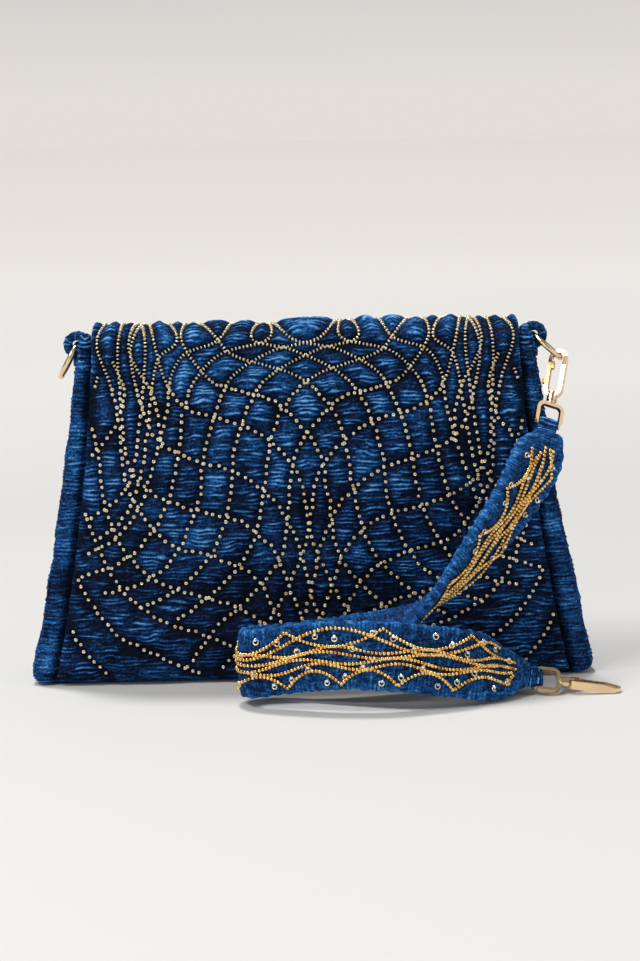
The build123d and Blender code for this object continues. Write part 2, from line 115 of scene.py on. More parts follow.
# ---------------- shapes as arrays, in millimetres
def noise(u, v, seed):
    """Value noise from 0 to 1: random numbers on the whole-number corners, mixed by 3f^2-2f^3 of the fractions."""
    table = np.random.default_rng(seed).random((256, 256))
    i, j = np.floor(u).astype(int), np.floor(v).astype(int)
    f, g = u - i, v - j
    f, g = f * f * (3 - 2 * f), g * g * (3 - 2 * g)
    i0, i1, j0, j1 = i % 256, (i + 1) % 256, j % 256, (j + 1) % 256
    low = table[i0, j0] * (1 - f) + table[i1, j0] * f
    high = table[i0, j1] * (1 - f) + table[i1, j1] * f
    return low * (1 - g) + high * g


def unit(v):
    """A direction: the vector over its length."""
    return np.array(v) / np.linalg.norm(v)


def units(rows):
    """Directions: each row over its length."""
    return rows / np.linalg.norm(rows, axis=-1, keepdims=True)


def squarer(c, power):
    """A cosine or sine bent towards a square wave: its sign times its size to a power below 1."""
    return np.sign(c) * np.abs(c) ** power


def read_off(run, gone, values):
    """Rows of values at each run, on straight lines between the runs in gone."""
    return np.stack([np.interp(run, gone, values[:, k]) for k in range(values.shape[1])], -1)


def crush(along, across, seed, pitch, reach, arch=0.0):
    """Gathered ridges from 0 to 1: a sine every pitch mm across, its phase bent by slow noise and raised by arch mm,
    sharpened to a narrow crest, and cut into short lengths of about reach mm by noise stretched along the ridges."""
    bend = 1.7 * noise(along / 19, across / 9, seed) + 0.75 * noise(along / 5, across / 4, seed + 1)
    wave = 0.5 + 0.5 * np.sin(TURN * ((across - arch) / pitch + bend))
    cut = np.clip(2.6 * noise(along / reach, across / (pitch * 0.75), seed + 2) - 0.65, 0.12, 1)
    fine = noise(along / 1.6, across / 1.0, seed + 3)
    return np.clip(0.78 * wave ** 1.8 * cut + 0.30 * fine, 0, 1)


def curve_through(knots, step):
    """Uniform Catmull-Rom curve through the knots, then read off every step mm along its length."""
    p = np.asarray(knots, float)
    p = np.vstack([2 * p[0] - p[1], p, 2 * p[-1] - p[-2]])
    t = np.linspace(0, 1, 17)[:-1, None, None]
    a, b, c, d = p[:-3], p[1:-2], p[2:-1], p[3:]
    q = 0.5 * (2 * b + (c - a) * t + (2 * a - 5 * b + 4 * c - d) * t ** 2 + (3 * b - a - 3 * c + d) * t ** 3)
    q = np.vstack([q.transpose(1, 0, 2).reshape(-1, p.shape[1]), p[-2]])
    gone = np.concatenate([[0], np.cumsum(np.linalg.norm(np.diff(q[:, :3], axis=0), axis=1))])
    steps = np.linspace(0, gone[-1], max(2, int(round(gone[-1] / step)) + 1))
    return read_off(steps, gone, q)


def arc_half(z, low, mid, high, z_low):
    """Half width at height z: the circle through (low, z_low), (mid, half way) and (high, hinge height), straight
    above the hinge."""
    z_mid, z_high = (z_low + BODY_HEIGHT) / 2, BODY_HEIGHT
    rows = np.array([[2 * (mid - low), 2 * (z_mid - z_low)], [2 * (high - mid), 2 * (z_high - z_mid)]])
    sums = np.array([mid ** 2 - low ** 2 + z_mid ** 2 - z_low ** 2, high ** 2 - mid ** 2 + z_high ** 2 - z_mid ** 2])
    cx, cz = np.linalg.solve(rows, sums)
    radius = math.hypot(low - cx, z_low - cz)
    z = np.clip(z, z_low, BODY_HEIGHT)
    return cx - np.sqrt(radius ** 2 - (z - cz) ** 2)


def bag_half(z):
    """Half width of the bag at height z, by its three half widths at the floor, half way and the hinge."""
    return arc_half(z, BASE_HALF, MID_HALF, TOP_HALF, 0.0)


def flap_half(z):
    """Half width of the flap at height z, in the same way from its hem up."""
    return arc_half(z, FLAP_LOW_HALF, FLAP_MID_HALF, FLAP_TOP_HALF, FLAP_LOW)


def front_y(z):
    """The front panel leans: 21 mm before the middle at the floor, 10 mm at the hinge."""
    return -(21.0 - 11.0 * z / BODY_HEIGHT)


def back_y(z):
    """The back panel leans: 22 mm behind the middle at the floor, 12 mm at the hinge."""
    return 22.0 - 10.0 * z / BODY_HEIGHT


FRONT_RUN = math.hypot(BODY_HEIGHT - FLAP_LOW, front_y(FLAP_LOW) - FLAP_STAND - (ARCH_Y - ARCH_OUT))
FLAP_RUN = FRONT_RUN + math.pi * ARCH_OUT


def flap_at(x, run, lift):
    """Point of the flap: run mm up from its hem along the outer face, lift mm out of that face.
    Below the arch the face is a leaning plane, then it is a half circle about the arch's centre."""
    low_y, top_y = front_y(FLAP_LOW) - FLAP_STAND, ARCH_Y - ARCH_OUT
    share = np.clip(run / FRONT_RUN, None, 1)
    lean_y, lean_z = -(BODY_HEIGHT - FLAP_LOW) / FRONT_RUN, (top_y - low_y) / FRONT_RUN
    y = low_y + (top_y - low_y) * share + lift * lean_y
    z = FLAP_LOW + (BODY_HEIGHT - FLAP_LOW) * share + lift * lean_z
    turn = np.clip((run - FRONT_RUN) / ARCH_OUT, 0, None)
    over = turn > 0
    y = np.where(over, ARCH_Y - (ARCH_OUT + lift) * np.cos(turn), y)
    z = np.where(over, BODY_HEIGHT + (ARCH_OUT + lift) * np.sin(turn), z)
    return np.stack([x + 0 * y, y, z], -1)


NET_HALF = 108.0  # half width of the bead net where it goes over the top


def net_points(step, highest=FLAP_RUN - 3):
    """Bead rows of both halves as (x, run) on the flap, read every step mm. If highest is past the arch, each long row
    goes on over the top to it, leaning one way or the other by turns."""
    rows = []
    for side in (1, -1):
        for k, knots in enumerate(BEAD_ROWS):
            line = [(side * x, (z - FLAP_LOW) * FRONT_RUN / (BODY_HEIGHT - FLAP_LOW)) for x, z in knots]
            if knots[0][1] > 188 and highest > FRONT_RUN:
                x = line[0][0]
                lean = side * (9, -11, 6, -8, 12)[k % 5]
                over = [(x - 0.3 * lean, highest), (x + 0.6 * lean, highest - 11), (x + 0.5 * lean, highest - 19)]
                line = [(max(-NET_HALF, min(NET_HALF, at)), run) for at, run in over] + line[1:]
            rows.append(curve_through(line, step))
    return rows


def nearest(points, marks, chunk=4000):
    """Distance in the plane from each point to the nearest mark, worked out in chunks of whole arrays."""
    flat = points.reshape(-1, 2).astype(np.float32)
    marks = marks.astype(np.float32)
    out = np.empty(len(flat), np.float32)
    for i in range(0, len(flat), chunk):
        part = flat[i:i + chunk]
        gap = (part[:, None, 0] - marks[None, :, 0]) ** 2 + (part[:, None, 1] - marks[None, :, 1]) ** 2
        out[i:i + chunk] = np.sqrt(gap.min(1))
    return out.reshape(points.shape[:-1])


# ---------------- arrays into meshes
def enclosed(points, quads):
    """Six times the volume inside the quads: the sum of a . (b x c) over their triangles, negative if inside out."""
    at = points[quads]
    return sum(np.einsum("ij,ij->i", at[:, 0], np.cross(at[:, i], at[:, i + 1])).sum() for i in (1, 2))


def mesh_object(name, points, faces, material, ridge_shading=None, tint=None, flip=None):
    """A smooth mesh object from points in mm, quads and end caps, all turned over if their volume is negative."""
    points = np.asarray(points, float).reshape(-1, 3)
    quads, caps = np.asarray(faces[0]), [np.asarray(cap) for cap in faces[1]]
    if flip is None:
        flip = enclosed(points, quads) < 0
    if flip:
        quads, caps = quads[:, ::-1], [cap[::-1] for cap in caps]
    loops = np.concatenate([quads.ravel(), *caps])
    sizes = np.array([4] * len(quads) + [len(cap) for cap in caps])
    mesh = bpy.data.meshes.new(name)
    mesh.vertices.add(len(points))
    mesh.vertices.foreach_set("co", (points / MM).astype(np.float32).ravel())
    mesh.loops.add(len(loops))
    mesh.loops.foreach_set("vertex_index", loops.astype(np.int32))
    mesh.polygons.add(len(sizes))
    mesh.polygons.foreach_set("loop_start", (np.cumsum(sizes) - sizes).astype(np.int32))
    mesh.update(calc_edges=True)
    mesh.validate()
    mesh.polygons.foreach_set("use_smooth", np.full(len(mesh.polygons), True))
    # ridge_shading is painted shade and highlight for the velvet's colour; tint is each bead's own random tone.
    for label, values in (("ridge_shading", ridge_shading), ("tint", tint)):
        if values is not None:
            made = mesh.attributes.new(label, "FLOAT", "POINT")
            made.data.foreach_set("value", np.asarray(values, np.float32).ravel())
    mesh.materials.append(material)
    obj = bpy.data.objects.new(name, mesh)
    bpy.context.scene.collection.objects.link(obj)
    return obj


def ring_faces(rows, around):
    """Quads of a grid that closes on itself both ways."""
    index = np.arange(rows * around).reshape(rows, around)
    below = np.roll(index, -1, 0)
    return np.stack([index, below, np.roll(below, -1, 1), np.roll(index, -1, 1)], -1).reshape(-1, 4)


def tube_faces(rows, around, cap=True, first=0):
    """Quads of a grid that closes on itself round each row, with its first and last rows capped."""
    index = np.arange(rows * around).reshape(rows, around) + first
    across = np.roll(index, -1, axis=1)
    quads = np.stack([index[:-1], across[:-1], across[1:], index[1:]], -1).reshape(-1, 4)
    return quads, ([index[0][::-1], index[-1]] if cap else [])


def slab(name, outer, inner, material, ridge_shading=None):
    """A closed pad: each row goes over the outer grid and back under the inner one."""
    points = np.concatenate([outer, inner[:, ::-1]], axis=1)
    if ridge_shading is not None:
        ridge_shading = np.concatenate([ridge_shading, np.full(inner.shape[:2], 0.35)], axis=1)
    return mesh_object(name, points, tube_faces(*points.shape[:2]), material, ridge_shading)


def round_off(gap, radius):
    """Share of full thickness at gap mm from an edge: a quarter circle of the radius, then 1."""
    g = np.clip(gap / radius, 0, 1)
    return np.sqrt(np.clip(1 - (1 - g) ** 2, 0, 1))


def rings(name, centres, axis, other, material, large, small, seed, sides=(9, 5), long=1.0):
    """Seed beads: at each centre a torus about its axis, with sides faces round and across it. Its points are
    (large + small cos b) (cos a, sin a) and long small sin b; its size and axis vary a little."""
    rng = np.random.default_rng(seed)
    n = len(centres)
    axis = units(axis + rng.normal(0, 0.16, (n, 3)))
    e1 = units(other - axis * np.einsum("ij,ij->i", other, axis)[:, None])
    e2 = np.cross(axis, e1)
    a = np.linspace(0, TURN, sides[0], endpoint=False)[:, None]
    b = np.linspace(0, TURN, sides[1], endpoint=False)[None, :]
    reach = large + small * np.cos(b)
    u, v, w = reach * np.cos(a), reach * np.sin(a), long * small * np.sin(b) + 0 * a
    size = rng.uniform(0.9, 1.1, n)[:, None, None, None]
    local = size * (u[..., None] * e1[:, None, None] + v[..., None] * e2[:, None, None]
                    + w[..., None] * axis[:, None, None])
    count = sides[0] * sides[1]
    quads = (ring_faces(*sides)[None] + (np.arange(n) * count)[:, None, None]).reshape(-1, 4)
    tint = np.repeat(rng.random(n), count)
    inside = enclosed(local.reshape(-1, 3), quads) < 0
    return mesh_object(name, centres[:, None, None] + local, (quads, []), material, tint=tint, flip=inside)


# ---------------- finishes
def node(tree, kind, settings=None, inputs=None, stops=()):
    """Adds one shader node and gives its properties, sockets and colour stops their values. A socket that is given
    another node, or an output of one, is linked to it: to its first output if none is named."""
    made = tree.nodes.new("ShaderNode" + kind)
    for key, value in (settings or {}).items():
        setattr(made, key, value)
    for key, value in (inputs or {}).items():
        value = value.outputs[0] if isinstance(value, bpy.types.Node) else value
        if isinstance(value, bpy.types.NodeSocket):
            tree.links.new(value, made.inputs[key])
        else:
            made.inputs[key].default_value = value
    while stops and len(made.color_ramp.elements) < len(stops):
        made.color_ramp.elements.new(0.5)
    for k, (place, tone) in enumerate(stops):
        made.color_ramp.elements[k].position = place
        made.color_ramp.elements[k].color = hex_colour(tone) if isinstance(tone, str) else tone
    return made


def tones():
    """The main colour of each finish, as set on the scene."""
    return bpy.context.scene.clutch_colours


def finish_named(name, shade):
    """The material of that name, made once: shade(tree) adds its nodes and gives back its shader."""
    material = bpy.data.materials.get(name)
    if material is None:
        material = bpy.data.materials.new(name)
        material.use_nodes = True
        tree = material.node_tree
        tree.nodes.clear()
        node(tree, "OutputMaterial", inputs={"Surface": shade(tree)})
    return material


def crushed_velvet():
    """Woven cotton velvet, crushed and gathered: matt, with painted shade between its ridges and a painted bright
    highlight on them, where light would catch the pile. The pile's 0.3 mm tufts are drawn about 1 mm apart so that
    they show."""
    def shade(tree):
        """Tone from the painted ridge shading, pleats, tufts and patches; bump from all but the patches."""
        place = node(tree, "TexCoord").outputs["Object"]
        ridge_shading = node(tree, "Attribute", {"attribute_name": "ridge_shading"}).outputs["Fac"]
        tufts = node(tree, "TexNoise", inputs={
            "Vector": place, "Scale": 900.0, "Detail": 3.0, "Roughness": 0.7})
        wide = node(tree, "Mapping", inputs={"Vector": place, "Scale": (170.0, 170.0, 700.0)})
        pleats = node(tree, "TexNoise", inputs={
            "Vector": wide, "Scale": 1.0, "Detail": 4.0, "Roughness": 0.65})
        patches = node(tree, "TexNoise", inputs={
            "Vector": place, "Scale": 28.0, "Detail": 2.0})
        # Tone: ridge_shading (painted shade and highlight) + 0.70 pleats + 0.85 tufts + 0.25 patches - 0.80.
        gathers = node(tree, "Math", {"operation": "MULTIPLY_ADD"}, {0: pleats, 1: 0.70, 2: ridge_shading})
        pile = node(tree, "Math", {"operation": "MULTIPLY_ADD"}, {0: tufts, 1: 0.85, 2: gathers})
        wear_and_shading = node(tree, "Math", {"operation": "MULTIPLY_ADD"}, {0: patches, 1: 0.25, 2: pile})
        tone = node(tree, "Math", {"operation": "SUBTRACT"}, {0: wear_and_shading, 1: 0.80})
        # The two darkest stops are painted shade in the valleys; the ridge and highlight stops are painted highlight
        # on crests.
        colour = node(tree, "ValToRGB", inputs={"Fac": tone}, stops=(
            (0.0, "#010309"), (0.24, "#040E26"), (0.40, tones().velvet_face), (0.60, tones().velvet_ridge),
            (0.92, tones().velvet_highlight)))
        bump = node(tree, "Bump", inputs={"Strength": 0.8, "Distance": 0.0011, "Height": pile})
        return node(tree, "BsdfPrincipled", inputs={
            "Base Color": colour, "Roughness": 0.82, "IOR": 1.47, "Specular IOR Level": 0.12,
            "Normal": bump, "Sheen Weight": 0.10, "Sheen Roughness": 0.4,
            "Sheen Tint": hex_colour("#5E97DC")})
    return finish_named("crushed_cotton_velvet", shade)


def satin_lining():
    """Polyester satin: smooth, with a soft streaky gloss and fine warp threads."""
    def shade(tree):
        """Tone from slow folds, painted shade in their hollows and lighter on their tops; bump from the warp threads
        and the folds.
        """
        place = node(tree, "TexCoord").outputs["Object"]
        threads = node(tree, "TexWave", {"wave_type": "BANDS", "bands_direction": "X"}, {
            "Vector": place, "Scale": 400.0, "Distortion": 1.5, "Detail": 2.0}).outputs["Fac"]
        folds = node(tree, "TexNoise", inputs={
            "Vector": place, "Scale": 45.0, "Detail": 3.0})
        colour = node(tree, "ValToRGB", inputs={"Fac": folds}, stops=(
            (0.3, "#0B1A33"), (0.7, tones().satin)))
        warp = node(tree, "Bump", inputs={"Strength": 0.25, "Distance": 0.0003, "Height": threads})
        swell = node(tree, "Bump", inputs={
            "Strength": 0.5, "Distance": 0.002, "Height": folds, "Normal": warp})
        return node(tree, "BsdfPrincipled", inputs={
            "Base Color": colour, "Roughness": 0.38, "Normal": swell,
            "Anisotropic": 0.4, "Sheen Weight": 0.2, "Sheen Roughness": 0.4})
    return finish_named("navy_polyester_satin", shade)


def metal(name, stops, rough, wear_scale=260.0, bumps=0.15):
    """A polished or plated metal: its colours and its roughness drift a little with fine handling marks, and each
    bead's own tint shifts its colour."""
    def shade(tree):
        """Tone, gloss and bump from one fine noise."""
        place = node(tree, "TexCoord").outputs["Object"]
        tint = node(tree, "Attribute", {"attribute_name": "tint"}).outputs["Fac"]
        marks = node(tree, "TexNoise", inputs={
            "Vector": place, "Scale": wear_scale, "Detail": 4.0})
        both = node(tree, "Math", {"operation": "MULTIPLY_ADD", "use_clamp": True},
                    {0: tint, 1: 0.8, 2: marks})
        colour = node(tree, "ValToRGB", inputs={"Fac": both}, stops=stops)
        gloss = node(tree, "MapRange", inputs={
            "Value": marks, "To Min": rough * 0.6, "To Max": rough * 1.5})
        bump = node(tree, "Bump", inputs={"Strength": bumps, "Distance": 0.0001, "Height": marks})
        return node(tree, "BsdfPrincipled", inputs={
            "Base Color": colour, "Metallic": 1.0, "Roughness": gloss,
            "Normal": bump})
    return finish_named(name, shade)


def champagne_gold():
    """Die-cast zinc, polished and plated pale champagne gold: mirror-bright with soft handling marks."""
    plate = tones().plate
    return metal("champagne_gold_plate", ((0.25, "#E6C49B"), (0.6, plate), (0.9, "#FBE6C4")), 0.20, 60.0, 0.02)


def knurled_gold():
    """The clasps' thumb gates: the same plate, bead-blasted, so darker and less sharp."""
    gate = tones().gate
    return metal("blasted_gold_plate", ((0.25, "#9C7448"), (0.6, gate), (0.9, "#E8C899")), 0.30, 900.0, 0.6)


def nickel_steel():
    """Nickel-plated spring steel: cool, bright and slightly hazy."""
    nickel = tones().nickel
    return metal("nickel_plated_steel", ((0.25, "#9A9891"), (0.6, nickel), (0.9, "#E2DFD7")), 0.22)


def seed_gold():
    """Metallic-lined glass seed beads: warm pale gold, each a little lighter or browner than the next."""
    bead = tones().seed_bead
    return metal("pale_gold_seed_bead", ((0.2, "#D9A357"), (0.5, bead), (0.95, "#FFF5D6")), 0.28)


def amber_gold():
    """The strap's beads: the same glass with a deeper amber lining."""
    bead = tones().strap_bead
    return metal("amber_gold_seed_bead", ((0.2, "#8E5218"), (0.5, bead), (0.95, "#FFD88A")), 0.24)


def silver_glass():
    """Small silver-blue drop beads of mirrored glass."""
    bead = tones().drop_bead
    return metal("silver_blue_glass_bead", ((0.2, "#5E7F96"), (0.55, bead), (0.95, "#F2FBFF")), 0.12)


def done(obj, body=None, across=None, stands_for=()):
    """Finishes a piece: hides the CAD nodes it stands for, then bakes its placement into its mesh if across is given,
    else parents it to the empty of its body so that it moves with it.
    """
    if stands_for:
        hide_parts(*stands_for)
    if across:
        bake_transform(obj)
    else:
        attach(obj, body)
    return obj


# ---------------- the flap
def flap_relief(x, run, settings):
    """Height in mm above the flap's CAD face, and the painted shading that colours it: lighter on the gathers' crests
    and the puffs, painted shade in the creases by the bead rows, and lighter towards the top as light from above
    falls. Cells between bead rows puff as 1 - exp(-(d/PUFF_REACH)^2) of their distance d to the nearest row, and fine
    gathers cross them. Near the top the rows crowd into scallops, so the puffs are taller there."""
    d = nearest(np.stack([x, run], -1), np.vstack(net_points(1.5)))
    puff = 1 - np.exp(-(d / PUFF_REACH) ** 2)
    high = np.clip((run - FRONT_RUN * 0.55) / (FRONT_RUN * 0.4), 0, 1) * np.interp(
        run, [0, FRONT_RUN, FRONT_RUN + 14, FLAP_RUN], [1, 1, 0.45, 0.3])
    folds = crush(x, run, 11, settings.gather_pitch * MM, 9.0, arch=2.6 * high * (1 - np.exp(-(d / 6.0) ** 2)))
    swell = noise(x / 17, run / 13, 21) - 0.5
    lift = -0.9 + (1.6 + 1.5 * high) * puff + settings.gather_height * MM * folds * (0.25 + 0.75 * puff) + 1.8 * swell
    # The colour is painted lighter towards the top, as light from above falls, and lighter on crests and puffs.
    painted_top_light = 0.74 + 0.26 * np.clip(run / FRONT_RUN, 0, 1)
    ridge_shading = 0.02 + painted_top_light * (0.84 * folds * (0.22 + 0.78 * puff) + 0.13 * puff * (0.3 + high)) + 0.20 * swell
    return lift, np.clip(ridge_shading, 0, 1)


def flap_cover(settings):
    """The flap's velvet, a grid of (x, run) lifted by its relief and rounded off at the hem and sides, with a plain
    underside that is thinned in the same way."""
    def edge_share(x, run, half):
        """Share of full thickness left by the sides, the hem and the sewn edge."""
        return round_off(half - np.abs(x), 3.0) * round_off(run + 0.2, 3.2) * round_off(FLAP_RUN - run + 0.2, 2.5)

    rows, cols, under_cols, heart = 372, 214, 44, -1.7
    run = np.linspace(0.3, FLAP_RUN - 0.3, rows)[:, None] + np.zeros((1, cols))
    half = flap_half(np.where(run > FRONT_RUN, BODY_HEIGHT, flap_at(0, run, 0)[..., 2]))
    side = np.linspace(-1, 1, cols)[None, :]
    wavy = 1 + 0.006 * (noise(run / 6, 0 * run + np.sign(side) * 7, 5) - 0.5)
    x = side * half * wavy
    lift, ridge_shading = flap_relief(x, run, settings)
    outer = flap_at(x, run, heart + (lift - heart) * edge_share(x, run, half))
    x = np.linspace(-1, 1, under_cols)[None, :] * half[:, :1] * wavy[:, :1]
    run = run[:, :1] + 0 * x
    inner = flap_at(x, run, heart - 1.6 * edge_share(x, run, half[:, :1]))
    obj = slab("flap_cover", outer, inner, crushed_velvet(), ridge_shading)
    return done(obj, across=("bag", "flap"), stands_for=("flap_panel", "flap_foam"))


def flap_lining():
    """Satin facing under the flap: two grids half a millimetre apart that stop short of the velvet's edge, the lower
    one rippled by slow noise."""
    rows, cols, inset = 120, 90, 4
    run = np.linspace(3.5, FLAP_RUN - 2, rows)[:, None] + np.zeros((1, cols))
    z = np.clip(flap_at(0, run, 0)[..., 2], FLAP_LOW, BODY_HEIGHT)
    x = np.linspace(-1, 1, cols)[None, :] * (
        flap_half(np.where(run > FRONT_RUN, BODY_HEIGHT, z)) - inset)
    ripple = 0.12 * noise(x / 9, run / 20, 31)
    top, low = flap_at(x, run, -3.35 + 0 * x), flap_at(x, run, -3.85 - ripple)
    obj = slab("flap_facing", top, low, satin_lining())
    return done(obj, across=("bag", "flap"), stands_for=("flap_lining",))


def flap_beads(settings):
    """Seed beads along the net: loose and flat on the front, threaded edge to edge near the top. Each row is marked
    off where the sum of length over pitch passes a whole number; loose beads are strewn a little to each side."""
    spots, axes, others = [], [], []
    for row in net_points(0.4):
        x, run = row[:, 0], row[:, 1]
        gone = np.concatenate([[0], np.cumsum(np.hypot(np.diff(x), np.diff(run)))])
        pitch = np.interp(run, [0, FRONT_RUN * 0.80, FRONT_RUN * THREADED_FROM, FLAP_RUN], [4.1, 4.0, 2.1, 2.0])
        count = np.concatenate([[0], np.cumsum(np.diff(gone) / pitch[1:])])
        marks = np.interp(np.arange(0.3, count[-1]), count, gone)
        px, pr = np.interp(marks, gone, x), np.interp(marks, gone, run)
        rng = np.random.default_rng(int(abs(x[0]) * 10) + int(x[0] > 0))
        loose = np.clip((FRONT_RUN * THREADED_FROM - pr) / 12, 0, 1)
        px, pr = px + rng.normal(0, 0.32, len(px)) * loose, pr + rng.normal(0, 0.32, len(pr)) * loose
        z = flap_at(px, pr, 0)[..., 2]
        keep = (np.abs(px) < flap_half(np.where(pr > FRONT_RUN, BODY_HEIGHT, z)) - 2.0) & (pr > 2.2)
        px, pr, loose = px[keep], pr[keep], loose[keep, None]
        if len(px) < 2:
            continue
        lift = flap_relief(px[None], pr[None], settings)[0][0] + 0.45
        spot = flap_at(px, pr, lift)
        out = flap_at(px, pr, lift + 1) - spot
        along = flap_at(px + 0.1 * np.gradient(px), pr + 0.1 * np.gradient(pr), lift) - spot
        along /= np.linalg.norm(along, axis=1)[:, None] + 1e-9
        spots.append(spot)
        axes.append(out * loose + along * (1 - loose) + 0.15 * out)
        others.append(np.cross(out, along) + 0.01)
    obj = rings("flap_seed_beads", np.vstack(spots), np.vstack(axes), np.vstack(others), seed_gold(),
                settings.flap_bead_radius * MM, settings.flap_bead_wire * MM, 3)
    return done(obj, across=("bag", "flap"))


# ---------------- the bag
def bag_section(z, place):
    """Outer point and outward normal of the bag at height z. place runs 0 to 4 round the rectangle: front from left
    to right, right side to the back, back to the left, left side to the front. Points beyond a corner's centre are
    moved to its circle, and near the floor the half width draws in along a larger one."""
    corner_r, floor_r = 4.0, 8.0
    half, front, back = bag_half(z), front_y(z), back_y(z)
    half = half - (floor_r - np.sqrt(np.clip(floor_r ** 2 - np.clip(floor_r - z, 0, floor_r) ** 2, 0, None)))
    leg, t = np.floor(place).astype(int) % 4, place - np.floor(place)
    deep, mid = (back - front) / 2, (back + front) / 2
    x = half * np.choose(leg, [2 * t - 1, 1 + 0 * t, 1 - 2 * t, -1 + 0 * t])
    y = deep * np.choose(leg, [-1 + 0 * t, 2 * t - 1, 1 + 0 * t, 1 - 2 * t])
    cx = np.clip(x, -half + corner_r, half - corner_r)
    cy = np.clip(y, -deep + corner_r, deep - corner_r)
    dx, dy = x - cx, y - cy
    size = np.maximum(np.hypot(dx, dy), 1e-6)
    on_face = (np.abs(dx) < 1e-6) | (np.abs(dy) < 1e-6)
    ux = np.where(on_face, np.choose(leg, [0, 1, 0, -1]), dx / size)
    uy = np.where(on_face, np.choose(leg, [-1, 0, 1, 0]), dy / size)
    return np.where(on_face, x, cx + corner_r * ux), np.where(on_face, y, cy + corner_r * uy) + mid, ux, uy


def bag_shell(settings):
    """Lofted velvet shell: rounded rectangles from the floor to the mouth, lifted by gathers, quilted on the back
    like the flap, closed across the base, with the rim turned over to a plain inner wall. A seam beside the flap is
    a narrow hollow exp(-(d/1.6)^2), and the strip beyond it rises as half a sine."""
    legs = (68, 38, 172, 38)
    place = np.concatenate([k + np.linspace(0, 1, n, endpoint=False) for k, n in enumerate(legs)])
    t = place[:legs[0]] - 0.5
    place[:legs[0]] = 0.5 + 0.5 * np.sign(t) * (2 * np.abs(t)) ** 0.45
    z = np.linspace(0, 1, 264)[:, None] * MOUTH_HEIGHT + 0 * place
    place = place + 0 * z
    x, y, ux, uy = bag_section(z, place)
    on_back, on_side = place // 1 == 2, (place // 1) % 2 == 1
    on_front = ~on_back & ~on_side
    past_flap = np.abs(x) - flap_half(np.maximum(z, FLAP_LOW))
    at_back = on_back[0]
    run = (z - FLAP_LOW) * FRONT_RUN / (BODY_HEIGHT - FLAP_LOW)
    d = np.full(z.shape, 4.0)
    d[:, at_back] = nearest(np.stack([x[:, at_back], run[:, at_back]], -1), np.vstack(net_points(1.8)))
    puff = 1 - np.exp(-(d / PUFF_REACH) ** 2)
    around = np.where(np.abs(ux) > 0.7, y, x)
    folds = crush(around + 300 * np.round(place), z, 41, settings.gather_pitch * MM, 12.0)
    swell = noise(around / 12 + 50 * np.round(place), z / 14, 51) - 0.5
    lift = np.where(on_back, -0.9 + 1.9 * puff, 0.5) + settings.gather_height * MM * folds * np.where(
        on_back, 0.35 + 0.65 * puff, 0.8) + (0.8 + 1.4 * on_side) * swell
    lift = np.where(on_front & (past_flap < 1), np.minimum(lift, 0.15) - 0.1, lift)
    seam = np.exp(-((past_flap - 1.5) / 1.6) ** 2) * on_front
    strip = np.sin(np.pi * np.clip(past_flap / 12, 0, 1)) * on_front
    lift = lift - 1.2 * seam + 1.3 * strip
    soft, rim = round_off(z, 3), round_off(MOUTH_HEIGHT - z + 0.05, 2.0)
    lift = (lift + 1.2) * np.minimum(soft, rim) - 1.2 - 1.6 * (1 - soft)
    outer = np.stack([x + ux * lift, y + uy * lift, z + 0.15], -1)
    # Painted shading: lighter on the gathers' crests, the back's puffs and the raised strip, painted shade in the
    # seam's hollow.
    ridge_shading = np.clip(0.08 + 0.58 * folds * np.where(on_back, 0.3 + 0.7 * puff, 0.70) + 0.08 * puff + 0.3 * swell
                    + 0.10 * strip - 0.25 * seam, 0, 1)
    middle, base, wall = 0.5, [], []
    for share in (0.06, 0.45, 0.8, 0.985):
        row = outer[0].copy()
        row[:, 0] = np.sign(row[:, 0]) * np.minimum(np.abs(row[:, 0]), bag_half(0.0) - 8 - 17 * (1 - share))
        row[:, 1] = middle + (row[:, 1] - middle) * share
        row[:, 2] = 0.12 + 0.25 * noise(row[:, 0] / 5, row[:, 1] / 3, 61) * (share < 0.98)
        base.append(row)
    for down, inset in ((0.0, 2.3), (2.5, 3.6), (14.0, 4.2), (40.0, 4.4), (150.0, 4.6), (MOUTH_HEIGHT - 3.4, 4.8)):
        level = np.full(place.shape[1], MOUTH_HEIGHT - down)
        x, y, ux, uy = bag_section(np.maximum(level, 8), place[0])
        wall.append(np.stack([x - ux * inset, y - uy * inset, level], -1))
    for share in (0.5, 0.06):
        row = wall[5].copy()
        row[:, 1] = middle + (row[:, 1] - middle) * share
        wall.append(row)
    points = np.stack([*base, *outer, *wall])
    shade = np.vstack([np.full((4, place.shape[1]), 0.25), ridge_shading, np.full((8, place.shape[1]), 0.3)])
    obj = mesh_object("bag_shell", points, tube_faces(*points.shape[:2]), crushed_velvet(), shade)
    return done(obj, "bag", stands_for=("back_panel", "front_panel", "base_panel", "gusset_left", "gusset_right",
                                        "foam_back", "foam_front", "base_board"))


def back_yoke(settings):
    """The strip of the back panel above the mouth, up to the hinge, where the flap is sewn on: a gathered grid in the
    back's plane, thinned at its ends and top."""
    cols, rows = 210, 12
    x = np.linspace(-1, 1, cols)[None, :] * (TOP_HALF - 1.0) + np.zeros((rows, 1))
    z = np.linspace(170.0, BODY_HEIGHT + 0.1, rows)[:, None] + 0 * x
    folds = crush(x, z, 71, settings.gather_pitch * MM, 8.0)
    edge = round_off(TOP_HALF - 1 - np.abs(x) + 0.05, 3) * round_off(BODY_HEIGHT + 0.15 - z, 2.0)
    outer = np.stack([x, back_y(z) - 2.0 + (1.7 + 0.9 * folds) * edge, z], -1)
    inner = np.stack([x, back_y(z) - 2.2 - 1.6 * edge, z], -1)
    # The gathers' crests are painted lighter and their valleys darker: painted highlight and shade.
    obj = slab("back_yoke", outer, inner, crushed_velvet(), 0.1 + 0.6 * folds)
    return done(obj, "bag")


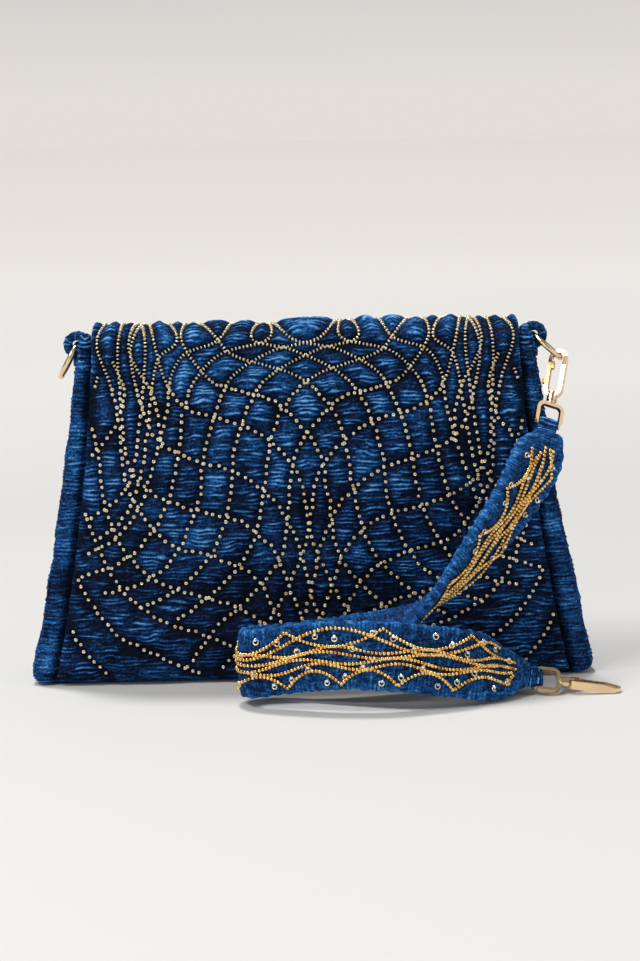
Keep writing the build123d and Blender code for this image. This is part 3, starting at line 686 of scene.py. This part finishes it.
def back_beads(settings):
    """The bead net of the back, loose like the flap's front: every 4 mm of each row, strewn a little."""
    spots = []
    for row in net_points(0.4, FRONT_RUN - 2):
        step = row[::10]
        rng = np.random.default_rng(int(abs(row[0, 0]) * 10) + 5)
        spots.append(step + rng.normal(0, 0.3, step.shape))
    spots = np.vstack(spots)
    z = FLAP_LOW + spots[:, 1] * (BODY_HEIGHT - FLAP_LOW) / FRONT_RUN
    keep = (z > 5) & (z < 171) & (np.abs(spots[:, 0]) < bag_half(z) - 6)
    x, z = spots[keep, 0], z[keep]
    lean = math.atan2(10.0, BODY_HEIGHT)
    out = np.array([0, math.cos(lean), math.sin(lean)])
    centres = np.stack([x, back_y(z) + 0.1, z], -1) + out * 0.35
    n = len(x)
    obj = rings("back_seed_beads", centres, np.tile(out, (n, 1)), np.tile((0.0, 0.1, 1.0), (n, 1)), seed_gold(),
                settings.back_bead_radius * MM, settings.back_bead_wire * MM, 7)
    return done(obj, "bag")


def lining_pouch():
    """Satin pouch: an outer and an inner wall 0.7 mm apart with gentle ripples, open at the mouth, and a slip
    pocket stitched to its back wall."""
    place = np.linspace(0, 4, 220, endpoint=False)[None, :]

    def wall(inset, heights):
        """The bag's section at each height, drawn in by inset mm and a little slow noise."""
        z = heights[:, None] + 0 * place
        x, y, ux, uy = bag_section(np.maximum(z, 9.0), place + 0 * z)
        soft = 0.35 * noise(place * 18 + 0 * z, z / 22, 81) * np.clip((MOUTH_HEIGHT - z) / 20, 0, 1)
        return np.stack([x - ux * (inset + soft), y - uy * (inset + soft), z], -1)

    outside = wall(5.0, np.linspace(5.2, MOUTH_HEIGHT - 1.5, 60))
    inside = wall(5.7, np.linspace(MOUTH_HEIGHT - 1.5, 6.0, 60))
    floors = []
    for flat in (outside[0].copy(), inside[-1].copy()):
        flat[:, 1] = 0.5 + (flat[:, 1] - 0.5) * 0.05
        floors.append(flat[None])
    points = np.concatenate([floors[0], outside, inside, floors[1]])
    obj = mesh_object("lining_pouch", points, tube_faces(*points.shape[:2]), satin_lining())
    done(obj, "bag", stands_for=("lining",))
    x = np.linspace(-55, 55, 80)[None, :] + np.zeros((60, 1))
    z = np.linspace(70, 140, 60)[:, None] + 0 * x
    y = back_y(z) - 7.0
    gape = 0.7 * np.clip((z - 110) / 30, 0, 1) * np.cos(x / 55 * np.pi / 2)
    edge = round_off(55.05 - np.abs(x), 1.0) * round_off(z - 69.95, 1.0) * round_off(140.05 - z, 1.0)
    pocket = slab("slip_pocket_satin", np.stack([x, y - gape - 0.45 * edge, z], -1),
                  np.stack([x, y - gape + 0.35 * edge, z], -1), satin_lining())
    done(pocket, "bag", stands_for=("slip_pocket",))


def velvet_loop(name, centre, axis, foot, reach, hole, outer, half, body, stands_for, seed, foot_half):
    """A padded band bent round an axis: a flattened ring section carried once round, and a foot pad that joins it
    to what it is sewn to. Each section is a rounded box of powered cosines and sines, crossed by gathers."""
    rows, pad_rows, cols, square = 72, 26, 44, 0.55
    centre, axis, foot = np.array(centre), unit(axis), unit(foot)
    side = np.cross(axis, foot)
    a = np.linspace(0, TURN, rows, endpoint=False)[:, None]
    b = np.linspace(0, TURN, cols, endpoint=False)[None, :]
    box_cos, box_sin = squarer(np.cos(b), square), squarer(np.sin(b), square)
    middle, thick = (hole + outer) / 2, (outer - hole) / 2
    folds = crush(half * box_sin + 0 * a, a * middle + 0 * b, seed, 1.9, 5.0)
    radius = middle + thick * box_cos * (1 + 0.28 * folds * (np.cos(b) > 0)) + 0 * a
    wide = half * box_sin * (1 + 0.06 * folds)
    ring = radius[..., None] * (np.cos(a)[..., None] * foot + np.sin(a)[..., None] * side) + wide[..., None] * axis
    quads = ring_faces(rows, cols)[:, [0, 3, 2, 1]]
    t = np.linspace(0, 1, pad_rows)[:, None]
    down = (middle - 0.6) + (reach - middle + 0.6) * t
    pinch = np.sqrt(np.clip(1 - np.abs(2 * t - 1) ** 6, 0.0004, 1))
    side_half = thick * 1.1 + (foot_half - thick * 1.1) * t
    pad_folds = crush(b * 4 + 0 * t, down + 0 * b, seed + 9, 1.9, 5.0)
    pad = ((down + 0 * b)[..., None] * foot
           + (box_cos * side_half * pinch * (1 + 0.12 * pad_folds))[..., None] * side
           + (box_sin * (half - 0.2) * pinch * (1 + 0.05 * pad_folds))[..., None] * axis)
    more, caps = tube_faces(pad_rows, cols, first=rows * cols)
    points = np.concatenate([ring.reshape(-1, 3), pad.reshape(-1, 3)])
    if enclosed(points, quads) < 0:
        quads = quads[:, ::-1]
    if enclosed(points, more) < 0:
        more, caps = more[:, ::-1], [cap[::-1] for cap in caps]
    # The gathers' crests are painted lighter and their hollows darker: painted highlight and shade.
    shade = 0.15 + 0.6 * np.concatenate([folds.ravel(), pad_folds.ravel()])
    obj = mesh_object(name, points + centre, (np.vstack([quads, more]), caps), crushed_velvet(), shade, flip=False)
    return done(obj, body, stands_for=stands_for)


def corner_puff(side, name):
    """The gathered top of the side strip beside the flap: a superellipsoid |x|^3+|y|^3+|z|^2.4, crossed by gathers."""
    rows, cols = 70, 90
    a = np.linspace(-np.pi / 2, np.pi / 2, rows)[:, None]
    b = np.linspace(0, TURN, cols, endpoint=False)[None, :]
    z = squarer(np.sin(a), 0.83) + 0 * b
    x = squarer(np.cos(a), 0.7) * squarer(np.cos(b), 0.66)
    y = squarer(np.cos(a), 0.7) * squarer(np.sin(b), 0.66)
    folds = crush(14 * y + 4 * x, 14 * z, 121 + side, 2.2, 6.0)
    grow = 1 + 0.055 * folds + 0.06 * (noise(2 * x + 9, 2 * z + 5, 131 + side) - 0.5)
    points = np.stack([side * (119.3 + 4.1 * x * grow), -1.0 + 11.0 * y * grow, 177.5 + 12.2 * z * grow], -1)
    # The gathers' crests are painted lighter and their hollows darker: painted highlight and shade.
    obj = mesh_object(name, points, tube_faces(rows, cols), crushed_velvet(), 0.06 + 0.7 * folds)
    return done(obj, "bag")


# ---------------- the wrist strap
def strap_frames(step):
    """Middle line of the strap, a smooth curve through its knots, with its face's direction, its width direction, the
    run and the half width, which swells from each end as a powered quarter sine."""
    start = UPPER_AT - ROD_TO_STRAP * UP_AXIS
    start_face = unit(np.cross(-UP_AXIS, UPPER_BAIL))
    finish = LOWER_AT - ROD_TO_STRAP * LOW_AXIS
    finish_face = unit(np.cross(LOW_AXIS, LOWER_BAIL))
    route = [
        (*start, *start_face), (*(start - 7 * UP_AXIS), *start_face),
        (118.5, -35.5, 113.5, 0.45, -0.85, -0.25), (106.5, -44, 96, 0.55, -0.75, -0.35),
        (92, -52.5, 79, 0.60, -0.65, -0.45), (78, -59, 64, 0.62, -0.50, -0.60), (60, -64, 49, 0.50, -0.15, -0.85),
        (40, -67, 36.5, 0.25, 0.40, -0.88), (19, -67.5, 28, 0.10, 0.80, -0.60), (-3, -65, 23.5, 0.02, 0.97, -0.25),
        (-20, -62.5, 22, -0.10, 1, 0), (-31.5, -65, 22, -0.7, 0.7, 0), (-35.5, -72.5, 22, -1, 0, 0),
        (-31, -80.5, 23, -0.7, -0.7, 0), (-16, -86.5, 26, -0.30, -0.95, 0), (10, -93.5, 29.5, -0.15, -1, 0.05),
        (36, -95.5, 29, 0.05, -1, 0.08), (60, -91, 25.5, 0.15, -1, 0.15), (82, -83, 20.6, 0.25, -0.95, 0.30),
        (*(finish - 10 * LOW_AXIS + np.array((0, -2.0, 2.8))), *(finish_face + np.array((0.15, -0.1, -0.1)))),
        (*finish, *finish_face)]
    line = curve_through(route, step)
    at, face = line[:, :3], line[:, 3:]
    ahead = units(np.gradient(at, axis=0))
    face = units(face - ahead * np.einsum("ij,ij->i", face, ahead)[:, None])
    wide = np.cross(face, ahead)
    run = np.concatenate([[0], np.cumsum(np.linalg.norm(np.diff(at, axis=0), axis=1))])
    share = np.clip(np.minimum(run, run[-1] - run) / STRAP_GATHER, 0, 1)
    half = STRAP_END_HALF + (STRAP_HALF - STRAP_END_HALF) * np.sin(share * np.pi / 2) ** 0.7
    return at, face, wide, run, half


def strap_at(frames, run, across, lift):
    """Point of the strap at run mm along, across mm from its middle line, lift mm out of its middle sheet."""
    at, face, wide, gone, _ = frames
    side, out = units(read_off(run, gone, wide)), units(read_off(run, gone, face))
    return read_off(run, gone, at) + side * across[..., None] + out * lift[..., None]


def strap_body():
    """Padded strap: an oval section carried along the line, its edges puffed into 6.5 mm gathers and its face crossed
    by fine ridges."""
    frames = strap_frames(0.5)
    gone, width = frames[3:]
    total, rows, cols = gone[-1], 540, 120
    run = np.linspace(0, total, rows)[:, None] + np.zeros((1, cols))
    turn = np.linspace(0, TURN, cols, endpoint=False)[None, :]
    half = np.interp(run, gone, width)
    flat_cos, flat_sin = squarer(np.cos(turn), 0.8), squarer(np.sin(turn), 0.42)
    across = half * flat_cos
    folds = crush(across + 90 * (flat_sin < 0), run, 91, 2.1, 5.0)
    border = np.exp(-((half - np.abs(across)) / 3.0) ** 2)
    puffs = 0.5 + 0.5 * np.sin(TURN * (run / 6.5 + 1.5 * noise(run / 20, np.sign(across), 97)))
    bunch = np.clip(1 - run / 95, 0, 1)
    rise = (STRAP_THICK / 2 - 0.25) + 0.55 * folds + (0.35 + 1.1 * bunch) * border * puffs
    tips = np.minimum(round_off(run + 0.05, 2.2), round_off(total - run + 0.05, 2.2))
    lift = flat_sin * rise * (0.25 + 0.75 * tips)
    across = across * (1 + 0.035 * border * puffs + 0.012 * folds) * (0.7 + 0.3 * tips)
    points = strap_at(frames, run, across, lift)
    points[..., 2] = np.maximum(points[..., 2], 0.25)
    # Painted highlight on the folds' crests and the puffed edges, painted shade between them.
    ridge_shading = np.clip(0.24 + 0.26 * folds + 0.14 * border * (0.4 + 0.6 * puffs), 0, 1)
    obj = mesh_object("wrist_strap", points, tube_faces(rows, cols), crushed_velvet(), ridge_shading)
    return done(obj, "strap", stands_for=("strap_face", "strap_core", "strap_back"))


def strap_strings():
    """Bead strings of the strap face as (run, share of half width): bows that peak near the edges, |2f-1|^1.9 of the
    run's fraction f of their period, and cosines that cross along the middle."""
    total = strap_frames(4.0)[3][-1]
    run = np.arange(6.0, total - 8.0, 0.25)
    base = total - run

    def bow(period, phase):
        """0 at the middle of each period, 1 at its ends."""
        return np.abs(2 * np.mod(base / period + phase, 1) - 1) ** 1.9

    def wave(period, phase):
        """A cosine of the run."""
        return np.cos(TURN * (base / period + phase))

    shares = (0.35 + 0.60 * bow(47, 0.10), -0.42 - 0.50 * bow(30, 0.34), 0.24 - 0.11 * wave(47, 0.10),
              0.08 + 0.12 * wave(61, 0), -0.12 + 0.12 * wave(53, 0.5), -0.30 + 0.12 * wave(44, 0.2),
              0.56 + 0.38 * wave(94, -0.20))
    return [(run, share) for share in shares]


def strap_beads(settings):
    """Touching seed beads threaded along each string, standing on the strap's face, whose height falls off as the
    root of 1 - s^4.7 of the share s of half width. The strings draw in
    by a quarter sine near the strap's ends, and stop at different places."""
    frames = strap_frames(0.5)
    gone, width = frames[3:]
    total = gone[-1]
    spots, axes, others = [], [], []
    for k, (run, share) in enumerate(strap_strings()):
        share = share * (0.35 + 0.65 * np.sin(np.clip(np.minimum(run, total - run) / 42, 0, 1) * np.pi / 2))
        across = share * (np.interp(run, gone, width) - 1.8)
        length = np.concatenate([[0], np.cumsum(np.hypot(np.diff(run), np.diff(across)))])
        marks = np.arange(0.5, length[-1], 1.95)
        r, a, span = (np.interp(marks, length, values) for values in (run, across, share))
        lift = STRAP_THICK / 2 * np.clip(1 - np.abs(span) ** 4.7, 0, 1) ** 0.25 + 0.75
        spot = strap_at(frames, r, a, lift)
        keep = (r > 9 + 4 * (k % 3)) & (r < total - 9 - 5 * (k % 4))
        spots.append(spot[keep])
        axes.append(units(np.gradient(spot, axis=0))[keep])
        others.append(read_off(r, gone, frames[1])[keep])
    obj = rings("strap_seed_beads", np.vstack(spots), np.vstack(axes), np.vstack(others), amber_gold(),
                settings.strap_bead_radius * MM, settings.strap_bead_wire * MM, 13, sides=(8, 6), long=1.75)
    return done(obj, "strap")


def strap_drops():
    """Drops between the strings: a silver glass bead beside a thin gold ring, one about every 5 mm of the strap, at
    six shares of its half width by turns."""
    frames = strap_frames(0.5)
    _, face, wide, gone, width = frames
    rng = np.random.default_rng(17)
    run = np.arange(16.0, gone[-1] - 12, 4.9)
    run = run + rng.uniform(-1.2, 1.2, len(run))
    shares = np.array([0.64, -0.64, 0.33, -0.30, 0.80, -0.82])
    share = shares[np.arange(len(run)) % len(shares)] + rng.uniform(-0.05, 0.05, len(run))
    at = strap_at(frames, run, share * (np.interp(run, gone, width) - 2), STRAP_THICK / 2 + 0.55 + 0 * run)
    face, wide = read_off(run, gone, face), read_off(run, gone, wide)
    gold = rings("strap_drop_rings", at - wide * 0.5, face + 0.2 * wide, wide, seed_gold(), 1.35, 0.36, 19,
                 sides=(12, 5))
    done(gold, "strap")
    glass = rings("strap_drop_beads", at + wide * 0.75 + face * 0.35, face + 0.5 * wide, wide, silver_glass(),
                  0.42, 0.78, 23, sides=(9, 6))
    done(glass, "strap")


# ---------------- stage
def stage_floor():
    """A plain pale floor: a disc whose tone grows lighter with the distance from its middle: painted light that evens
    out the falloff of the lamps, as on a lit studio sweep.
    """
    around = 96
    a = np.linspace(0, TURN, around, endpoint=False)[None, :]
    r = np.array([0.05, 0.5, 1.5, 4.0, 14.0])[:, None] * MM
    points = np.stack([r * np.cos(a), r * np.sin(a), 0 * r * a - 0.3], -1)

    def shade(tree):
        """Tone lighter with the distance to the middle, painted light for the lamps' falloff; a faint grain for bump.
        """
        place = node(tree, "TexCoord").outputs["Object"]
        reach = node(tree, "VectorMath", {"operation": "LENGTH"}, {0: place}).outputs["Value"]
        far = node(tree, "MapRange", inputs={"Value": reach, "From Min": 0.6, "From Max": 12.0})
        tone = node(tree, "ValToRGB", inputs={"Fac": far}, stops=(
            (0.0, "#D4D3D1"), (0.07, "#EAE8E5"), (0.2, tones().floor), (1.0, "#F8F4ED")))
        grain = node(tree, "TexNoise", inputs={"Vector": place, "Scale": 300.0})
        bump = node(tree, "Bump", inputs={"Strength": 0.05, "Distance": 0.0002, "Height": grain})
        return node(tree, "BsdfPrincipled", inputs={
            "Base Color": tone, "Roughness": 0.7, "Normal": bump})
    quads, _ = tube_faces(len(r), around, cap=False)
    obj = mesh_object("studio_floor", points, (quads, [np.arange(around)[::-1]]),
                      finish_named("matt_studio_floor", shade), flip=False)
    if obj.data.polygons[0].normal.z < 0:
        obj.data.flip_normals()


def light(name, at, target, size, power):
    """A softbox: an area lamp of the given width and height in metres, turned to face its target."""
    data = bpy.data.lights.new(name, "AREA")
    data.shape, data.size, data.size_y = "RECTANGLE", size[0], size[1]
    data.energy = power
    obj = bpy.data.objects.new(name, data)
    obj.location = at
    obj.rotation_euler = (Vector(target) - Vector(at)).to_track_quat("-Z", "Y").to_euler()
    bpy.context.scene.collection.objects.link(obj)


def studio(settings):
    """Soft studio light and the camera: 9 degrees above level, rolled 1.3 degrees, 1350 mm from the base's front. The
    air is pale near the horizon and greyer above it."""
    lift, roll = math.radians(9.0), math.radians(1.3)
    right, up = Vector((1, 0, 0)), Vector((0, math.sin(lift), math.cos(lift)))
    toward = Vector((0, -math.cos(lift), math.sin(lift)))
    across = right * math.cos(roll) - up * math.sin(roll)
    above = right * math.sin(roll) + up * math.cos(roll)
    place = Vector((0, -0.025, 0)) + across * 0.0038 + above * 0.109 + toward * 1.350
    camera = bpy.data.objects.new("camera", bpy.data.cameras.new("camera"))
    camera.data.lens, camera.data.sensor_width = 92.8, 36.0  # both in millimetres
    camera.matrix_world = Matrix((
        (across.x, above.x, toward.x, place.x), (across.y, above.y, toward.y, place.y),
        (across.z, above.z, toward.z, place.z), (0, 0, 0, 1)))
    bpy.context.scene.collection.objects.link(camera)
    bpy.context.scene.camera = camera
    light("top_softbox", (-1.15, -0.75, 2.10), (0.0, -0.03, 0.08), (1.1, 0.7), 30 * settings.light_power)
    light("front_softbox", (-1.8, -3.0, 1.4), (0.0, 0.0, 0.08), (2.8, 2.4), 17 * settings.light_power)
    light("right_softbox", (2.2, -0.8, 1.2), (0.05, 0.0, 0.08), (1.6, 2.4), 9 * settings.light_power)
    sun = bpy.data.objects.new("overhead_key", bpy.data.lights.new("overhead_key", "SUN"))
    sun.data.energy, sun.data.angle = 1.9 * settings.light_power, math.radians(9)
    sun.rotation_euler = Vector((0.12, -0.25, -1)).to_track_quat("-Z", "Y").to_euler()
    bpy.context.scene.collection.objects.link(sun)
    bpy.context.scene.view_settings.view_transform = "Standard"
    world = bpy.data.worlds.new("studio_air")
    world.use_nodes = True
    tree = world.node_tree
    tree.nodes.clear()
    ray = node(tree, "TexCoord").outputs["Generated"]
    height = node(tree, "SeparateXYZ", inputs={0: ray}).outputs["Z"]
    tone = node(tree, "ValToRGB", inputs={"Fac": height}, stops=(
        (0.0, "#E2DFD9"), (0.036, "#D6D3CE"), (0.10, "#8B8A88"), (1.0, "#8B8A88")))
    back = node(tree, "Background", inputs={"Color": tone, "Strength": settings.air_power})
    node(tree, "OutputWorld", inputs={"Surface": back})
    bpy.context.scene.world = world


# ---------------- add-on
def length(name, description, size, low, high):
    """A length property: given in millimetres, kept in metres."""
    return bpy.props.FloatProperty(name=name, description=description, default=size / MM, min=low / MM,
                                   max=high / MM, precision=5, unit="LENGTH")


def colour(name, description, tone):
    """A colour property, given as an sRGB hex value."""
    return bpy.props.FloatVectorProperty(name=name, description=description, default=hex_colour(tone), size=4,
                                         min=0.0, max=1.0, subtype="COLOR")


def power(name, description, high):
    """A share of full light."""
    return bpy.props.FloatProperty(name=name, description=description, default=1.0, min=0.0, max=high,
                                   subtype="FACTOR")


class ClutchSettings(bpy.types.PropertyGroup):
    """Sizes of the velvet and beads, which leave the CAD frame as it is, and the light"""
    gather_pitch: length("Gather pitch", "Distance between velvet gathers", 2.15, 1.5, 5.0)
    gather_height: length("Gather height", "Height of the gathers", 1.15, 0.0, 2.0)
    flap_bead_radius: length("Flap bead radius", "Middle radius of the flap's beads", 0.62, 0.4, 1.0)
    flap_bead_wire: length("Flap bead wall", "Half the wall of the flap's beads", 0.42, 0.2, 0.6)
    back_bead_radius: length("Back bead radius", "Middle radius of the back's beads", 0.66, 0.4, 1.0)
    back_bead_wire: length("Back bead wall", "Half the wall of the back's beads", 0.38, 0.2, 0.6)
    strap_bead_radius: length("Strap bead radius", "Middle radius of the strap's beads", 0.60, 0.4, 0.9)
    strap_bead_wire: length("Strap bead wall", "Half the wall of the strap's beads", 0.50, 0.2, 0.6)
    light_power: power("Light power", "Strength of the lamps", 5.0)
    air_power: power("Air power", "Strength of the light from all round", 3.0)


class ClutchColours(bpy.types.PropertyGroup):
    """Main colour of each finish"""
    velvet_face: colour("Velvet", "Pile between the gathers", "#0B2D58")
    # The ridge and highlight tones are painted highlight for the crests of the velvet's gathers.
    velvet_ridge: colour("Velvet ridges", "Pile on the gathers", "#1C60A8")
    velvet_highlight: colour("Velvet bloom", "Pile worn bright", "#79BCF2")
    satin: colour("Satin", "Lining and facing", "#1B3A66")
    plate: colour("Plating", "Rings, hooks and swivels", "#F2D3A8")
    gate: colour("Gates", "Blasted thumb gates", "#C9A06E")
    nickel: colour("Nickel", "Snap, pins and springs", "#C9C6BE")
    seed_bead: colour("Seed beads", "Beads of the flap and back", "#FFDD9E")
    strap_bead: colour("Strap beads", "Beads of the strap", "#D79A40")
    drop_bead: colour("Drop beads", "Glass drops of the strap", "#B4D2DE")
    floor: colour("Floor", "Studio floor", "#FAF7F2")


class CLUTCH_OT_stage(bpy.types.Operator):
    """Makes the floor, the lights and the camera"""
    bl_idname = "clutch.stage"
    bl_label = "Stage"

    def execute(self, context):
        stage_floor()
        studio(context.scene.clutch)
        return {"FINISHED"}


class CLUTCH_OT_flap(bpy.types.Operator):
    """Makes the flap's velvet cover, its satin facing and its beads"""
    bl_idname = "clutch.flap"
    bl_label = "Flap"

    def execute(self, context):
        flap_cover(context.scene.clutch)
        flap_lining()
        flap_beads(context.scene.clutch)
        return {"FINISHED"}


class CLUTCH_OT_bag(bpy.types.Operator):
    """Makes the bag's velvet shell, its lining and the beads of its back"""
    bl_idname = "clutch.bag"
    bl_label = "Bag"

    def execute(self, context):
        bag_shell(context.scene.clutch)
        back_yoke(context.scene.clutch)
        back_beads(context.scene.clutch)
        lining_pouch()
        return {"FINISHED"}


class CLUTCH_OT_loops(bpy.types.Operator):
    """Makes the velvet loops that hold the rings, and those that hold the clasps"""
    bl_idname = "clutch.loops"
    bl_label = "Loops"

    def execute(self, context):
        for side, name in ((-1, "left"), (1, "right")):
            corner_puff(side, f"{name}_corner_velvet")
            velvet_loop(f"{name}_tab_velvet", (side * TAB_X, 0, TAB_Z), (0, 1, 0), (-0.12 * side, 0, -1), 12.0, 2.5,
                        7.0, 5.1, "bag", (f"tab_{name}",), 101 + side, 3.6)
        ends = (("upper", UPPER_AT, UP_AXIS, UPPER_BAIL), ("lower", LOWER_AT, LOW_AXIS, LOWER_BAIL))
        for name, at, up, rod in ends:
            velvet_loop(f"{name}_end_velvet", tuple(at - ROD_AT * up), tuple(rod), tuple(-up), 6.2, 1.5, 3.4, 5.3,
                        "strap", (f"strap_end_{name}",), 111 + len(name), 3.0)
        return {"FINISHED"}


class CLUTCH_OT_strap(bpy.types.Operator):
    """Makes the padded wrist strap with its bead strings and drops"""
    bl_idname = "clutch.strap"
    bl_label = "Wrist strap"

    def execute(self, context):
        strap_body()
        strap_beads(context.scene.clutch)
        strap_drops()
        return {"FINISHED"}


class CLUTCH_OT_metalwork(bpy.types.Operator):
    """Gives the CAD rings, clasps and magnetic snap their plated finishes"""
    bl_idname = "clutch.metalwork"
    bl_label = "Metalwork"

    def execute(self, context):
        finishes = {
            champagne_gold: ("ring_left", "ring_right", "upper_hook", "lower_hook", "upper_swivel", "lower_swivel"),
            knurled_gold: ("upper_gate", "lower_gate"),
            nickel_steel: ("upper_gate_pin", "lower_gate_pin", "upper_gate_spring", "lower_gate_spring",
                           "magnet_socket", "socket_washer", "magnet_stud", "stud_washer")}
        for finish, names in finishes.items():
            for name in names:
                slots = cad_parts[name].material_slots
                if not slots:
                    raise RuntimeError(f"{name} has no material slot")
                for each in slots:
                    each.material = finish()
        return {"FINISHED"}


PIECE_OPERATORS = (CLUTCH_OT_stage, CLUTCH_OT_metalwork, CLUTCH_OT_flap, CLUTCH_OT_bag, CLUTCH_OT_loops,
                   CLUTCH_OT_strap)


class CLUTCH_PT_panel(bpy.types.Panel):
    """Lists the clutch's sizes and pieces"""
    bl_idname = "CLUTCH_PT_panel"
    bl_label = "Beaded velvet clutch"
    bl_space_type = "VIEW_3D"
    bl_region_type = "UI"
    bl_category = "Clutch"

    def draw(self, context):
        for group in (context.scene.clutch, tones()):
            for name in group.__annotations__:
                self.layout.prop(group, name)
        for each in PIECE_OPERATORS:
            self.layout.operator(each.bl_idname)


CLASSES = (ClutchSettings, ClutchColours, *PIECE_OPERATORS, CLUTCH_PT_panel)


def register():
    """Registers every class and hangs both property groups on the scene."""
    for each in CLASSES:
        bpy.utils.register_class(each)
    bpy.types.Scene.clutch = bpy.props.PointerProperty(type=ClutchSettings)
    bpy.types.Scene.clutch_colours = bpy.props.PointerProperty(type=ClutchColours)


def unregister():
    """Takes them off again."""
    del bpy.types.Scene.clutch_colours
    del bpy.types.Scene.clutch
    for each in reversed(CLASSES):
        bpy.utils.unregister_class(each)


def main():
    register()
    for each in PIECE_OPERATORS:
        group, name = each.bl_idname.split(".")
        getattr(getattr(bpy.ops, group), name)()


if __name__ == "__main__":
    main()
